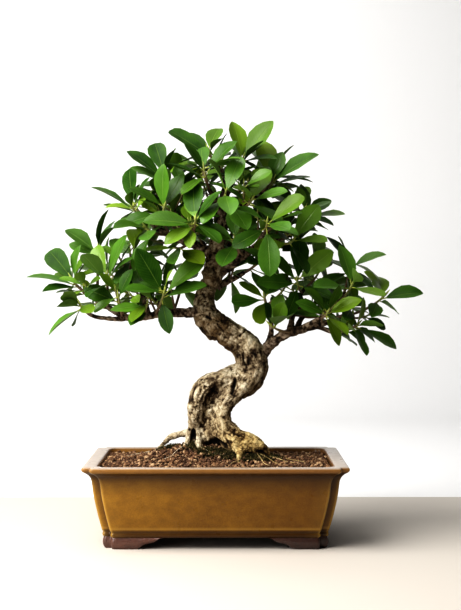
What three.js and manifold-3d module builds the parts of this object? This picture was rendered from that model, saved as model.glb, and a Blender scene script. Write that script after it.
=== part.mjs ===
// Ginseng ficus: a small fig tree trained as a bonsai, rooted in a glazed clay pot on four bracket feet.
// Millimetres, +Z up, the pot's front towards -Y. Every place below is measured from the middle of the pot's
// footprint. The finished group is then moved so that its origin is the middle of the whole tree's box, at
// the level that the pot stands on.
import * as THREE from "three";
import { mergeVertices } from "three/addons/utils/BufferGeometryUtils.js";
import Module from "manifold-3d";

const wasm = await Module();
wasm.setup();

// Driving dimensions
const POT = { width: 307, depth: 226, height: 95, footHeight: 13, floor: 9, notch: 10, innerRound: 15 };
const FOOT = { front: 68, side: 49, thick: 15, inset: 25, batter: 2 };
const GAP = 0.3; // between pieces that touch
const SOIL = { edge: 87, mound: 19, reachX: 92, reachY: 40, grain: 1.3, step: 40, rings: 5, clear: 1.1 };
const DRAIN = { radius: 10, offset: 62, sides: 16, screen: 34, thick: 1.4, mesh: 3, opening: 6.5 };
const LEAF = { length: 54, width: 24.5, rib: 0.8, fold: 0.09, camber: 0.1 };
const LEAF_SIZE = { shortest: 0.88, spare: 0.2, newest: 0.86 }; // shares of the length
const TWIG = { base: 2.1, tip: 1.2, bud: 8, sides: 3, steps: 2, internode: 2.4, foot: 1.5 };

// How leaves stand on a shoot, in degrees: the angle to the twig of the newest leaf and of the oldest, how
// much that angle wanders, and how far a blade may roll. droop lowers old leaves.
const STANCE = { newest: 34, oldest: 88, wander: 14, roll: 40, droop: 0.22 };

// How far a surface may move where small faces are merged.
const MERGED = { pot: 0.1, soil: 0.35, wood: 0.75, shoot: 0.35 };

const vec = (x, y, z) => new THREE.Vector3(x, y, z);
const mix = (a, b, t) => a + (b - a) * t;
const radians = THREE.MathUtils.degToRad;

// A number from 0 to 1 that looks random and is the same on every run. Three whole numbers name each draw.
function draw(a, b, c) {
  const wave = Math.sin(a * 12.9898 + b * 78.233 + c * 37.719) * 43758.5453;
  return wave - Math.floor(wave);
}

// Skins a list of rings into one closed surface. A ring is a loop of points, or a single point at a closed end.
function skin(rings) {
  const starts = [];
  const positions = [];
  const faces = [];
  for (const ring of rings) {
    starts.push(positions.length / 3);
    for (const p of ring) positions.push(p.x, p.y, p.z);
  }
  for (let k = 0; k + 1 < rings.length; k++) {
    const [lower, upper] = [rings[k].length, rings[k + 1].length];
    const count = Math.max(lower, upper);
    for (let i = 0; i < count; i++) {
      const next = (i + 1) % count;
      const low = starts[k] + (lower === 1 ? 0 : i);
      const lowNext = starts[k] + (lower === 1 ? 0 : next);
      const high = starts[k + 1] + (upper === 1 ? 0 : i);
      const highNext = starts[k + 1] + (upper === 1 ? 0 : next);
      if (lower > 1) faces.push(low, lowNext, high);
      if (upper > 1) faces.push(lowNext, highNext, high);
    }
  }
  const geometry = new THREE.BufferGeometry();
  geometry.setAttribute("position", new THREE.Float32BufferAttribute(positions, 3));
  return geometry.setIndex(faces);
}

// A closed geometry as a solid that can be joined and cut.
function solid(geometry) {
  const bare = new THREE.BufferGeometry().setAttribute("position", geometry.getAttribute("position"));
  const merged = mergeVertices(bare.setIndex(geometry.index), 1e-4);
  const vertProperties = merged.attributes.position.array;
  const triVerts = new Uint32Array(merged.index.array);
  return new wasm.Manifold(new wasm.Mesh({ numProp: 3, vertProperties, triVerts }));
}

// A solid back as a geometry. Loose scraps that a cut leaves are dropped: only the largest body is kept.
function geometryOf(shape) {
  const bodies = shape.decompose().sort((a, b) => b.volume() - a.volume());
  const mesh = bodies[0].getMesh();
  const geometry = new THREE.BufferGeometry();
  geometry.setAttribute("position", new THREE.Float32BufferAttribute(mesh.vertProperties, 3));
  return geometry.setIndex(new THREE.Uint32BufferAttribute(mesh.triVerts, 1));
}

// The pot in plan. Outside, each corner is cut in by a small square notch with softened edges.
function notchedCorner(a, b) {
  const n = POT.notch;
  const [soft, inner] = [3, 1.5];
  return [
    [a, b - n - soft], [a - soft, b - n], [a - n + inner, b - n],
    [a - n, b - n + inner], [a - n, b - soft], [a - n - soft, b],
  ];
}

// Inside, each corner is a plain quarter round.
function roundCorner(a, b) {
  const r = POT.innerRound;
  return [0, 18, 36, 54, 72, 90].map((turn) => [
    a - r + r * Math.cos(radians(turn)),
    b - r + r * Math.sin(radians(turn)),
  ]);
}

// One level of the pot: the plan, drawn in by an inset from the rim's edge, at a height.
function potRing(inset, z, corner) {
  const quarter = corner(POT.width / 2 - inset, POT.depth / 2 - inset);
  const back = [...quarter].reverse();
  return [
    ...quarter.map(([x, y]) => vec(x, y, z)),
    ...back.map(([x, y]) => vec(-x, y, z)),
    ...quarter.map(([x, y]) => vec(-x, -y, z)),
    ...back.map(([x, y]) => vec(x, -y, z)),
  ];
}

// The pot's section as [inset, height]: from the bead at its base up the flared and bulging outside, out under
// the rolled lip, then down the inside.
const POT_OUTSIDE = [
  [28, POT.footHeight], [25.4, 13.6], [24.2, 16], [24.8, 19], [23.6, 22], [19.6, 38], [15.2, 60],
  [13.4, 74], [12.6, 81], [10, 84.6], [3.4, 87], [0.5, 88.8], [0, 91], [0.8, 93.4], [3.4, POT.height],
];
const POT_INSIDE = [[16, 94.6], [18.6, 92.8], [20, 86], [32, 22]];

// A bracket foot's side as [share of its length, height]: level at the corner, then up in a cloud scroll.
// It reaches a little above the pot's underside, so that the two join.
const FOOT_TOP = POT.footHeight + 0.4;
const FOOT_SCROLL = [
  [0, 0], [0.59, 0], [0.65, 2.6], [0.73, 6], [0.82, 7], [0.89, 8.6], [1, FOOT_TOP], [0, FOOT_TOP],
];

function footSide(length) {
  const outline = new THREE.Shape(FOOT_SCROLL.map(([along, up]) => new THREE.Vector2(-along * length, up)));
  return new THREE.ExtrudeGeometry(outline, { depth: FOOT.thick, bevelEnabled: false }).rotateX(Math.PI / 2);
}

function potFeet() {
  const corner = [POT.width / 2 - FOOT.inset, POT.depth / 2 - FOOT.inset, 0];
  const front = solid(footSide(FOOT.front));
  const side = solid(footSide(FOOT.side).rotateZ(Math.PI / 2).translate(-FOOT.thick, 0, 0));
  const foot = front.add(side).translate(corner);
  const feet = [-1, 1].flatMap((x) => [-1, 1].map((y) => (
    foot.transform(new THREE.Matrix4().makeScale(x, y, 1).toArray()))));
  const plan = solid(skin([
    [vec(0, 0, 0)],
    potRing(FOOT.inset + FOOT.batter, 0, notchedCorner),
    potRing(FOOT.inset, FOOT_TOP / 3, notchedCorner),
    potRing(FOOT.inset, FOOT_TOP, notchedCorner),
    [vec(0, 0, FOOT_TOP)],
  ]));
  return wasm.Manifold.union(feet).intersect(plan);
}

function drainHole(x) {
  const bore = new THREE.CylinderGeometry(DRAIN.radius, DRAIN.radius, 3 * POT.floor, DRAIN.sides);
  return solid(bore.rotateX(Math.PI / 2)).translate([x, 0, POT.footHeight + POT.floor / 2]);
}

function potSolid() {
  const rings = [
    [vec(0, 0, POT.footHeight)],
    ...POT_OUTSIDE.map(([inset, z]) => potRing(inset, z, notchedCorner)),
    ...POT_INSIDE.map(([inset, z]) => potRing(inset, z, roundCorner)),
    [vec(0, 0, POT.footHeight + POT.floor)],
  ];
  const bowl = solid(skin(rings)).add(potFeet());
  return bowl.subtract(drainHole(-DRAIN.offset)).subtract(drainHole(DRAIN.offset)).simplify(MERGED.pot);
}

// A square of coarse mesh that lies over a drain hole and keeps the soil in.
function screenSolid() {
  const pitch = DRAIN.screen / (DRAIN.mesh + 0.5);
  const middle = (DRAIN.mesh - 1) / 2;
  const opening = solid(new THREE.BoxGeometry(DRAIN.opening, DRAIN.opening, 3 * DRAIN.thick));
  const openings = [];
  for (let i = 0; i < DRAIN.mesh; i++) {
    for (let j = 0; j < DRAIN.mesh; j++) {
      openings.push(opening.translate([(i - middle) * pitch, (j - middle) * pitch, 0]));
    }
  }
  const sheet = solid(new THREE.BoxGeometry(DRAIN.screen, DRAIN.screen, DRAIN.thick));
  return sheet.subtract(wasm.Manifold.union(openings)).translate([0, 0, DRAIN.thick / 2]);
}

// The height of the soil: level near the wall and heaped up round the trunk.
function soilHeight(x, y) {
  return SOIL.edge + SOIL.mound * Math.exp(-((x / SOIL.reachX) ** 2) - (y / SOIL.reachY) ** 2);
}

// Adds points along the long sides of a ring, so that no two neighbours are further apart than a step.
function subdivide(ring, step) {
  return ring.flatMap((p, i) => {
    const next = ring[(i + 1) % ring.length];
    const parts = Math.max(1, Math.round(p.distanceTo(next) / step));
    return Array.from({ length: parts }, (_, k) => p.clone().lerp(next, k / parts));
  });
}

function soilSolid() {
  const wall = (z) => {
    const [[topInset, topZ], [floorInset, floorZ]] = POT_INSIDE.slice(2);
    return mix(floorInset, topInset, (z - floorZ) / (topZ - floorZ)) + 2 * GAP;
  };
  const bottom = POT.footHeight + POT.floor + GAP;
  const edge = subdivide(potRing(wall(SOIL.edge), SOIL.edge - SOIL.grain, roundCorner), SOIL.step);
  const base = potRing(wall(bottom), bottom, roundCorner);
  const rings = [edge];
  for (let k = 1; k < SOIL.rings; k++) {
    const share = 1 - k / SOIL.rings;
    rings.push(edge.map((p, i) => {
      const [x, y] = [p.x * share, p.y * share];
      return vec(x, y, soilHeight(x, y) + SOIL.grain * (2 * draw(k, i, 5) - 1));
    }));
  }
  const lid = edge.map((p) => vec(p.x, p.y, bottom));
  const heap = solid(skin([[vec(0, 0, bottom)], lid, ...rings, [vec(0, 0, soilHeight(0, 0))]]));
  const above = POT.height + 2 * SOIL.mound;
  const top = potRing(wall(above), above, roundCorner);
  const inside = solid(skin([[vec(0, 0, bottom)], base, top, [vec(0, 0, above)]]));
  return heap.intersect(inside);
}

const smoothLine = (points) => new THREE.CatmullRomCurve3(
  points.map(([x, y, z]) => vec(x, y, z)), false, "catmullrom", 0.5);

// A limb is a tapering tube along a smooth curve through [x, y, z, radius] points. Lobes flute its surface.
function limbRings(points, { sides, steps, lobes = 0, flute = 0, twist = 0, more = 0 }) {
  const curve = smoothLine(points);
  const frames = curve.computeFrenetFrames(steps, false);
  const rings = [];
  for (let k = 0; k <= steps; k++) {
    const share = k / steps;
    const at = curve.getUtoTmapping(share) * (points.length - 1);
    const knot = Math.min(Math.floor(at), points.length - 2);
    const radius = mix(points[knot][3], points[knot + 1][3], at - knot) + more;
    const centre = curve.getPointAt(share);
    const ring = [];
    for (let i = 0; i < sides; i++) {
      const turn = (2 * Math.PI * i) / sides;
      const reach = radius * (1 + flute * Math.cos(lobes * turn + twist * share));
      ring.push(centre.clone()
        .addScaledVector(frames.normals[k], reach * Math.cos(turn))
        .addScaledVector(frames.binormals[k], reach * Math.sin(turn)));
    }
    if (k === 0) rings.push([centre]);
    rings.push(ring);
    if (k === steps) rings.push([centre]);
  }
  return rings;
}

// The old wood: the S of the trunk, two thick roots grown together with it, and the roots that spread over
// the soil. Each point is [x, y, z, radius].
const TRUNK = [
  [0, 6, 62, 14], [-2, 6, 95, 20], [-6, 6, 120, 22], [-7, 7, 146, 21.5], [-3, 7, 170, 20.5],
  [15, 6, 181, 20.5], [35, 4, 189, 21], [43, 2, 207, 19.5], [36, 0, 226, 17.5], [20, -2, 239, 16.2],
  [2, -3, 250, 16.2], [-11, -3, 262, 16], [-14, -1, 278, 12.8], [-12, 1, 293, 10.8],
  [-5, 2, 308, 11.8], [-2, 1, 323, 12.2], [0, 0, 340, 10.6], [3, 0, 354, 9], [7, 0, 371, 7.2],
  [10, 2, 395, 5.2],
];
const STRANDS = {
  fusedRootLeft: [[24, -3, 190, 9], [3, -7, 188, 11], [-13, -9, 179, 12.5], [-21, -9, 164, 12.8],
    [-23, -9, 147, 11.2], [-26, -8, 130, 8.4], [-32, -9, 117, 5.4], [-37, -11, 101, 4],
    [-39, -12, 88, 3]],
  fusedRootRight: [[42, -4, 190, 11], [29, -8, 176, 11], [15, -11, 163, 10], [7, -12, 147, 10.4],
    [9, -12, 133, 11.4], [20, -13, 121, 12], [35, -13, 115, 11], [48, -14, 110, 8.8], [59, -15, 101, 6],
    [66, -17, 87, 3]],
  rootLeftFront: [[-24, -9, 130, 7], [-21, -14, 116, 4.8], [-19, -19, 104, 3.8], [-18, -22, 90, 3]],
  rootLeftArch: [[-24, 0, 124, 7], [-40, 4, 122, 4.4], [-53, 8, 118, 3.6], [-64, 11, 109, 3.2],
    [-73, 13, 98, 3], [-80, 14, 86, 2.5]],
  rootToe: [[18, -13, 118, 9], [26, -20, 109, 7.4], [30, -29, 100, 5.2], [32, -36, 88, 3.5]],
  rootFrontRight: [[4, -12, 124, 11], [18, -22, 111, 8], [44, -24, 101, 5.5], [54, -30, 90, 3.2]],
  rootBackLeft: [[-15, 12, 126, 9], [-28, 28, 114, 7.2], [-38, 43, 101, 5.2], [-46, 55, 88, 3.4]],
  rootBack: [[0, 14, 126, 10], [5, 31, 114, 7.6], [9, 47, 101, 5], [12, 60, 88, 3.4]],
  rootBackRight: [[15, 9, 125, 9], [32, 21, 114, 7.2], [46, 33, 102, 5.2], [58, 43, 88, 3.4]],
  scar: [[6, -3, 249, 13.5], [-5, -4, 243, 10], [-11, -4, 239, 6]],
  knot: [[-4, -2, 312, 8], [-11, -6, 314, 8], [-15, -8, 313, 5.4]],
};

// The branches, each a limb that starts inside the wood it grew from.
const BRANCHES = {
  leftLow: [[-6, -3, 262, 8.5], [-24, -8, 267, 7], [-46, -12, 267, 6], [-66, -14, 266, 5.4],
    [-84, -14, 262, 4.8], [-104, -12, 261, 4.2], [-122, -10, 270, 3.5], [-138, -8, 280, 3],
    [-154, -6, 290, 2.6]],
  leftLowOuter: [[-100, -12, 261, 3.6], [-120, -20, 260, 2.9], [-142, -25, 263, 2.5],
    [-156, -26, 271, 2.2]],
  leftLowUp: [[-80, -14, 263, 3.8], [-86, -6, 284, 3.2], [-95, 0, 304, 2.7], [-106, 8, 322, 2.3]],
  leftLowBack: [[-56, -13, 267, 4.2], [-68, 8, 277, 3.5], [-86, 30, 290, 3], [-108, 40, 302, 2.6]],
  rightLow: [[42, 2, 212, 9], [58, 0, 222, 7.8], [68, -2, 232, 6.9], [79, -4, 240, 6.2],
    [92, -6, 244, 5.6], [106, -6, 248, 5], [120, -8, 252, 4], [134, -10, 257, 3.2], [150, -8, 263, 2.6]],
  rightLowNear: [[59, 0, 222, 4.6], [65, 1, 240, 3.5], [65, 1, 256, 2.9], [60, -1, 276, 2.3]],
  rightLowUp: [[88, -5, 245, 4.2], [91, 4, 262, 3.3], [97, 12, 280, 2.8], [106, 18, 296, 2.4]],
  rightLowOut: [[104, -6, 248, 4.2], [122, 4, 259, 3.3], [140, 8, 275, 2.8], [154, 8, 291, 2.4]],
  rightLowFront: [[96, -6, 246, 3.8], [110, -20, 254, 3.1], [124, -30, 262, 2.6]],
  rightLowDown: [[118, -8, 251, 3.2], [136, -15, 246, 2.6], [153, -18, 247, 2.2]],
  rightLowBack: [[94, -6, 245, 3.8], [104, 20, 262, 3.2], [120, 42, 278, 2.6]],
  upperLeft: [[2, 0, 333, 7.5], [-14, -2, 342, 6.2], [-33, -4, 350, 5.3], [-56, -6, 359, 4.5],
    [-73, -6, 370, 3.7], [-84, -5, 381, 2.9]],
  upperLeftFront: [[-25, -3, 347, 3.8], [-27, -24, 354, 3.1], [-26, -44, 362, 2.6]],
  upperLeftUp: [[-32, -4, 350, 4.2], [-43, 2, 370, 3.5], [-52, 4, 392, 2.9], [-58, 3, 411, 2.4]],
  upperLeftBack: [[-12, 0, 342, 4.4], [-30, 24, 353, 3.5], [-47, 42, 368, 2.8]],
  midRight: [[0, 2, 312, 7], [15, 0, 321, 5.8], [31, -2, 334, 5], [49, -4, 346, 4.4], [66, -4, 351, 3.8],
    [83, -2, 357, 3.2], [97, 0, 367, 2.6]],
  midRightLow: [[2, 3, 299, 5], [18, 10, 306, 3.7], [33, 14, 315, 3]],
  midRightFront: [[38, -3, 339, 3.8], [49, -24, 349, 3.1], [57, -45, 361, 2.6]],
  midRightOut: [[64, -4, 350, 3.4], [80, 6, 346, 2.8], [95, 14, 342, 2.4]],
  topRight: [[6, 0, 367, 5.4], [20, -2, 384, 4.3], [38, -5, 400, 3.5], [54, -8, 410, 2.8]],
  topLeft: [[8, 0, 379, 5], [1, -9, 397, 3.9], [-8, -20, 412, 3]],
  topFront: [[9, 0, 386, 4.4], [21, -15, 391, 3.3], [32, -27, 391, 2.7]],
  leader: [[8, 1, 378, 6.4], [10, 2, 396, 5.2], [10, 4, 418, 3.8], [4, 5, 438, 2.5]],
  topMiddle: [[10, 2, 403, 4], [19, -2, 422, 3.1], [26, -6, 436, 2.5]],
  topBackLeft: [[7, 2, 374, 4.6], [-2, 22, 388, 3.7], [-8, 42, 402, 3]],
  topBackRight: [[8, 2, 384, 4.4], [21, 22, 394, 3.5], [34, 42, 403, 2.8]],
  backLow: [[0, 3, 328, 6], [5, 26, 338, 4.4], [13, 50, 348, 3.5], [24, 72, 358, 2.8]],
  backLeft: [[-2, 3, 322, 6], [-10, 30, 335, 4.3], [-16, 56, 349, 3.5], [-20, 76, 361, 2.8]],
};

// The leafy shoots. Each grows on a branch, a share of the way along it, and ends in a rosette at its tip.
// fan gives each leaf's [heading, lean, size], in degrees as seen from the front: heading 0 is right and 90
// is up, a positive lean points away from the front, and the size is 1 where it is left out. Where there is
// no fan, the leaves wind round the shoot from turn.
const SHOOTS = [
  { on: "leftLow", at: 0.97, tip: [-172, -5, 308], fan: [[183, -26, 0.89], [163, -2, 1.22],
    [127, 18, 1.18], [88, 22, 0.97], [64, -38, 0.79], [20, 20, 0.8]] },
  { on: "leftLow", at: 0.9, tip: [-143, 25, 346], fan: [[152, 22, 0.78], [139, 14, 1.06], [73, 22, 1],
    [83, -18, 0.95], [54, -34, 0.79]] },
  { on: "leftLow", at: 0.8, tip: [-128, -20, 311], fan: [[202, -62, 0.81], [125, -34, 1.01],
    [73, -2, 1.24], [47, -22, 0.8], [117, 22, 0.89]] },
  { on: "leftLowUp", at: 0.93, tip: [-98, -4, 340], fan: [[208, -25, 0.8], [290, -38, 0.9],
    [350, 18, 0.8], [150, 12, 0.8], [67, -30, 0.78], [89, 42, 0.82]] },
  { on: "leftLow", at: 0.42, tip: [-59, -45, 296], fan: [[282, -14, 0.84], [23, -14, 0.99],
    [47, 2, 1.16], [118, -10, 1.12], [171, -30, 0.9], [160, 20, 0.8], [78, -40, 0.6]] },
  { on: "leftLowOuter", at: 0.93, tip: [-160, -26, 278], fan: [[213, -10, 1.02], [229, 54, 0.84],
    [165, -50, 0.79], [342, -66, 0.67], [139, -50, 0.78]] },
  { on: "upperLeft", at: 0.97, tip: [-101, -5, 395], fan: [[165, -14, 0.79], [147, -2, 1.26],
    [207, 62, 0.78], [101, 22, 1.18], [66, -14, 0.84], [34, 22, 0.9]] },
  { on: "upperLeftUp", at: 0.97, tip: [-62, 0, 432], fan: [[149, -2, 0.93], [137, 6, 1.07],
    [156, 34, 0.8], [104, 22, 0.95], [74, -34, 0.78], [30, 20, 0.85]] },
  { on: "topLeft", at: 0.97, tip: [-14, -36, 437], fan: [[156, 0, 0.95], [210, -30, 0.7], [53, 8],
    [122, -14, 0.85], [104, 42, 0.81], [20, -20, 0.8]] },
  { on: "upperLeftFront", at: 0.97, tip: [-23, -64, 376], fan: [[208, -24, 0.8], [170, -6, 1.09],
    [329, -38, 0.8], [97, 26, 0.98], [55, -6, 0.82], [120, 36, 0.8]] },
  { on: "upperLeft", at: 0.78, tip: [-60, -32, 392], fan: [[200, -22, 0.9], [330, -28, 0.8],
    [92, -20], [48, 0, 0.9], [132, 15, 0.9]] },
  { on: "topMiddle", at: 0.97, tip: [32, -10, 450], fan: [[178, -25, 0.8], [52, -30, 0.78],
    [55, 2, 1.28], [97, 14, 0.94], [8, -24, 0.8], [123, 42, 0.81], [75, 40, 0.7]] },
  { on: "topRight", at: 0.97, tip: [67, -16, 424], fan: [[330, 12, 0.9], [15, -14, 0.99],
    [38, -6, 1.2], [72, 18, 0.78], [99, 26, 1.13], [92, 38, 0.83]] },
  { on: "midRightFront", at: 0.97, tip: [59, -70, 373], fan: [[209, -12, 0.9], [276, -22, 1.18],
    [350, -26, 0.79], [40, -6, 0.98], [345, -62, 0.8], [150, -20, 0.8]] },
  { on: "midRight", at: 0.97, tip: [108, 5, 386], fan: [[337, 66, 0.79], [342, -46, 0.78],
    [14, -6, 0.92], [38, 18, 0.8], [90, 26, 0.79], [150, -14, 0.9]] },
  { on: "rightLowUp", at: 0.9, tip: [95, -26, 306], fan: [[250, -30, 0.8], [345, -24, 0.9],
    [172, -20, 0.9], [84, 10], [130, 5, 0.95], [42, -12, 0.95]] },
  { on: "rightLowOut", at: 0.97, tip: [161, 6, 329], fan: [[200, -20, 0.8], [320, -50, 0.82],
    [29, 2, 0.91], [120, 22, 1.03], [110, -18, 0.78], [337, 18, 0.83]] },
  { on: "rightLow", at: 0.97, tip: [202, 0, 289], fan: [[240, -66, 0.78], [334, -54, 0.8],
    [15, -2, 0.89], [87, 50, 0.86], [122, -34, 0.81], [131, -62, 0.87]] },
  { on: "rightLowDown", at: 0.97, tip: [167, -22, 254], fan: [[300, -38, 0.78], [332, 34, 0.8],
    [338, -6, 1.04], [10, -42, 0.81], [60, 10, 0.7]] },
  { on: "rightLowFront", at: 0.97, tip: [130, -46, 269], fan: [[303, 10, 0.84], [323, -46, 0.78],
    [150, -20, 0.8], [26, -14, 0.84], [66, -36, 0.8], [100, 10, 0.8]] },
  { on: "rightLowNear", at: 0.95, tip: [57, -2, 288], fan: [[247, -58, 0.82], [182, -26, 0.79],
    [142, 14, 0.78], [50, 15, 0.75], [48, 66, 0.86]] },
  { on: "rightLow", at: 0.5, tip: [63, -26, 254], fan: [[74, -46, 0.8], [56, -66, 1.28],
    [104, -46, 0.78], [60, -20, 0.8]] },
  { on: "leftLow", at: 0.52, tip: [-80, -36, 280], fan: [[229, -58, 0.78], [165, 0, 0.9],
    [110, -25, 0.8], [195, -34, 0.8]] },
  { on: "leftLow", at: 0.66, tip: [-114, -36, 288], fan: [[170, -14, 0.85], [30, -12, 0.8],
    [128, -20, 0.85], [70, -8, 0.9], [225, -20, 0.6]] },
  { on: "upperLeft", at: 0.62, tip: [-82, -38, 368], leaves: 6, turn: 210 },
  { on: "upperLeft", at: 0.4, tip: [-48, -24, 344], leaves: 5, turn: 140 },
  { on: "leftLow", at: 0.28, tip: [-40, 16, 310], leaves: 6, turn: 20 },
  { on: "topFront", at: 0.97, tip: [42, -44, 399], leaves: 6, turn: 30 },
  { on: "topLeft", at: 0.5, tip: [12, -62, 408], leaves: 6, turn: 200 },
  { on: "leader", at: 0.97, tip: [-10, 6, 462], fan: [[143, 6, 1.3], [131, 30, 0.97], [190, -20, 0.8],
    [51, -46, 0.71], [72, 38, 0.8]] },
  { on: "midRight", at: 0.35, tip: [22, -46, 354], leaves: 6, turn: 330 },
  { on: "midRight", at: 0.72, tip: [90, -38, 352], leaves: 6, turn: 50 },
  { on: "midRightLow", at: 0.97, tip: [46, 14, 324], fan: [[310, -42, 0.83], [339, 22, 0.82],
    [200, 58, 0.7], [60, 20, 0.8], [110, -10, 0.8]] },
  { on: "midRightOut", at: 0.97, tip: [127, 16, 332], leaves: 6, turn: 60 },
  { on: "rightLowUp", at: 0.97, tip: [124, 24, 316], leaves: 6, turn: 120 },
  { on: "rightLowOut", at: 0.6, tip: [160, -32, 302], leaves: 6, turn: 300 },
  { on: "leftLowBack", at: 0.97, tip: [-134, 50, 318], leaves: 6, turn: 10 },
  { on: "leftLowUp", at: 0.75, tip: [-106, 40, 344], leaves: 6, turn: 160 },
  { on: "leftLowBack", at: 0.55, tip: [-72, 54, 312], leaves: 6, turn: 70 },
  { on: "upperLeftBack", at: 0.97, tip: [-64, 58, 390], leaves: 6, turn: 200 },
  { on: "upperLeftBack", at: 0.6, tip: [-84, 50, 358], leaves: 5, turn: 300 },
  { on: "topBackLeft", at: 0.97, tip: [-16, 64, 424], leaves: 6, turn: 45 },
  { on: "topBackLeft", at: 0.5, tip: [-46, 34, 420], leaves: 5, turn: 130 },
  { on: "topBackRight", at: 0.97, tip: [50, 60, 418], leaves: 6, turn: 280 },
  { on: "topRight", at: 0.6, tip: [66, 28, 436], leaves: 5, turn: 100 },
  { on: "leader", at: 0.6, tip: [20, 34, 452], leaves: 5, turn: 230 },
  { on: "midRight", at: 0.8, tip: [92, 48, 396], leaves: 6, turn: 340 },
  { on: "backLow", at: 0.97, tip: [34, 94, 374], leaves: 6, turn: 90 },
  { on: "backLow", at: 0.6, tip: [66, 62, 352], leaves: 5, turn: 10 },
  { on: "backLeft", at: 0.97, tip: [-28, 98, 378], leaves: 6, turn: 170 },
  { on: "rightLowBack", at: 0.97, tip: [136, 58, 298], leaves: 6, turn: 220 },
  { on: "rightLowBack", at: 0.5, tip: [94, 58, 294], leaves: 5, turn: 320 },
  { on: "midRightLow", at: 0.4, tip: [16, 20, 318], fan: [[288, 10, 0.88], [240, 20, 0.7],
    [40, 10, 0.8]] },
];

const TRUNK_FACETS = { sides: 11, steps: 24, lobes: 4, flute: 0.06, twist: 5 };
const THICK = 5.5; // a branch that starts thicker than this gets more sides
const limbSolid = (points, facets) => solid(skin(limbRings(points, facets)));
const strandFacets = (points) => ({ sides: 6, steps: points.length + 1 });
const branchFacets = (points) => ({ sides: points[0][3] > THICK ? 6 : 4, steps: points.length - 1 });

// The trunk with its grown-on roots. Made a little thicker, they are what the soil leaves open for the tree.
const oldWood = (more) => wasm.Manifold.union([
  limbSolid(TRUNK, { ...TRUNK_FACETS, more }),
  ...Object.values(STRANDS).map((points) => limbSolid(points, { ...strandFacets(points), more })),
]);

const trunkSolid = () => wasm.Manifold.union([
  oldWood(0),
  ...Object.values(BRANCHES).map((points) => limbSolid(points, branchFacets(points))),
]).simplify(MERGED.wood);

// A shoot's line is a curve from its branch, through an elbow, that ends along the way its tip points: mostly
// away from the branch, and partly up.
const ELBOW = 0.45;
const LIFT = vec(0, 0, 0.53);

function shootLine({ on, at, tip }) {
  const start = smoothLine(BRANCHES[on]).getPoint(at);
  const end = vec(...tip);
  const reach = end.distanceTo(start);
  const heading = end.clone().sub(start).divideScalar(reach).add(LIFT).normalize();
  const elbow = end.clone().addScaledVector(heading, -ELBOW * reach);
  return { curve: new THREE.QuadraticBezierCurve3(start, elbow, end), heading, elbow, end };
}

// A leaf's outline, as [share of the length, share of the half width]: stalk, neck, shoulder, broadest part
// and tip.
const LEAF_STATIONS = [[0, 0.03], [0.13, 0.06], [0.42, 0.86], [0.74, 0.97], [1, 0]];
const CROWN_HEART = vec(0, 0, 300); // leaves turn their faces away from this point, and up
const LIGHT = { heading: 0.35, outward: 0.5, sky: vec(0, -0.42, 0.6) };
const GOLDEN_TURN = 137.5;
const TRIES = [
  [0, 1], [14, 1], [-14, 1], [28, 1], [-28, 1], [42, 0.9], [-42, 0.9], [56, 0.85], [-56, 0.85], [0, 0.75],
];
const leafCount = (shoot) => (shoot.fan ? shoot.fan.length : shoot.leaves);

// The place of leaf i of shoot s on a given try. A try turns it further round the shoot, or makes it smaller.
// inward leads from its base to the nearest middle of the straight pieces that the plain twig is made of.
function leafFrame(shoot, s, i, attempt) {
  const { curve, heading, elbow, end } = shoot.line;
  const count = leafCount(shoot);
  const [swing, size] = TRIES[attempt];
  const bend = end.distanceTo(elbow);
  const back = (count - 1 - i) * Math.min(TWIG.internode, bend / count) + TWIG.foot;
  const t = 1 - back / (2 * bend);
  const base = curve.getPoint(t);
  let along;
  if (shoot.fan) {
    const [angle, lean] = shoot.fan[i].slice(0, 2).map(radians);
    along = vec(Math.cos(angle) * Math.cos(lean), Math.sin(lean), Math.sin(angle) * Math.cos(lean));
    along.applyAxisAngle(heading, radians(swing));
  } else {
    const age = 1 - i / (count - 1);
    const spread = radians(mix(STANCE.newest, STANCE.oldest, age) + STANCE.wander * (draw(s, i, 1) - 0.5));
    const across = vec(0, 1, 0).cross(heading).normalize();
    const over = heading.clone().cross(across);
    const turn = radians(shoot.turn + i * GOLDEN_TURN + swing);
    along = heading.clone().multiplyScalar(Math.cos(spread))
      .addScaledVector(across, Math.sin(spread) * Math.cos(turn))
      .addScaledVector(over, Math.sin(spread) * Math.sin(turn));
    along.z -= STANCE.droop * age;
    along.normalize();
  }
  const outward = end.clone().sub(CROWN_HEART).normalize();
  const light = LIGHT.sky.clone()
    .addScaledVector(heading, LIGHT.heading)
    .addScaledVector(outward, LIGHT.outward);
  const face = light.addScaledVector(along, -light.dot(along)).normalize();
  face.applyAxisAngle(along, radians(STANCE.roll * (draw(s, i, 2) - 0.5)));
  const side = face.clone().cross(along);
  const grown = shoot.fan ? shoot.fan[i][2] ?? 1 : (i === count - 1 ? LEAF_SIZE.newest : 1);
  const share = size * grown * (LEAF_SIZE.shortest + LEAF_SIZE.spare * draw(s, i, 3));
  const length = LEAF.length * share;
  const step = Math.floor(t * TWIG.steps) / TWIG.steps;
  const foot = curve.getPoint(step).lerp(curve.getPoint(step + 1 / TWIG.steps), (t - step) * TWIG.steps);
  return { base, inward: foot.sub(base), along, face, side, length, half: (LEAF.width / 2) * share };
}

// A point of the blade, a share of the way along it and a distance across. It arches down and folds up.
function bladePoint(leaf, share, across, lift = 0) {
  const arch = LEAF.camber * leaf.length * share * share;
  return leaf.base.clone()
    .addScaledVector(leaf.along, leaf.length * share)
    .addScaledVector(leaf.side, across)
    .addScaledVector(leaf.face, lift + LEAF.fold * Math.abs(across) - arch);
}

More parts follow.
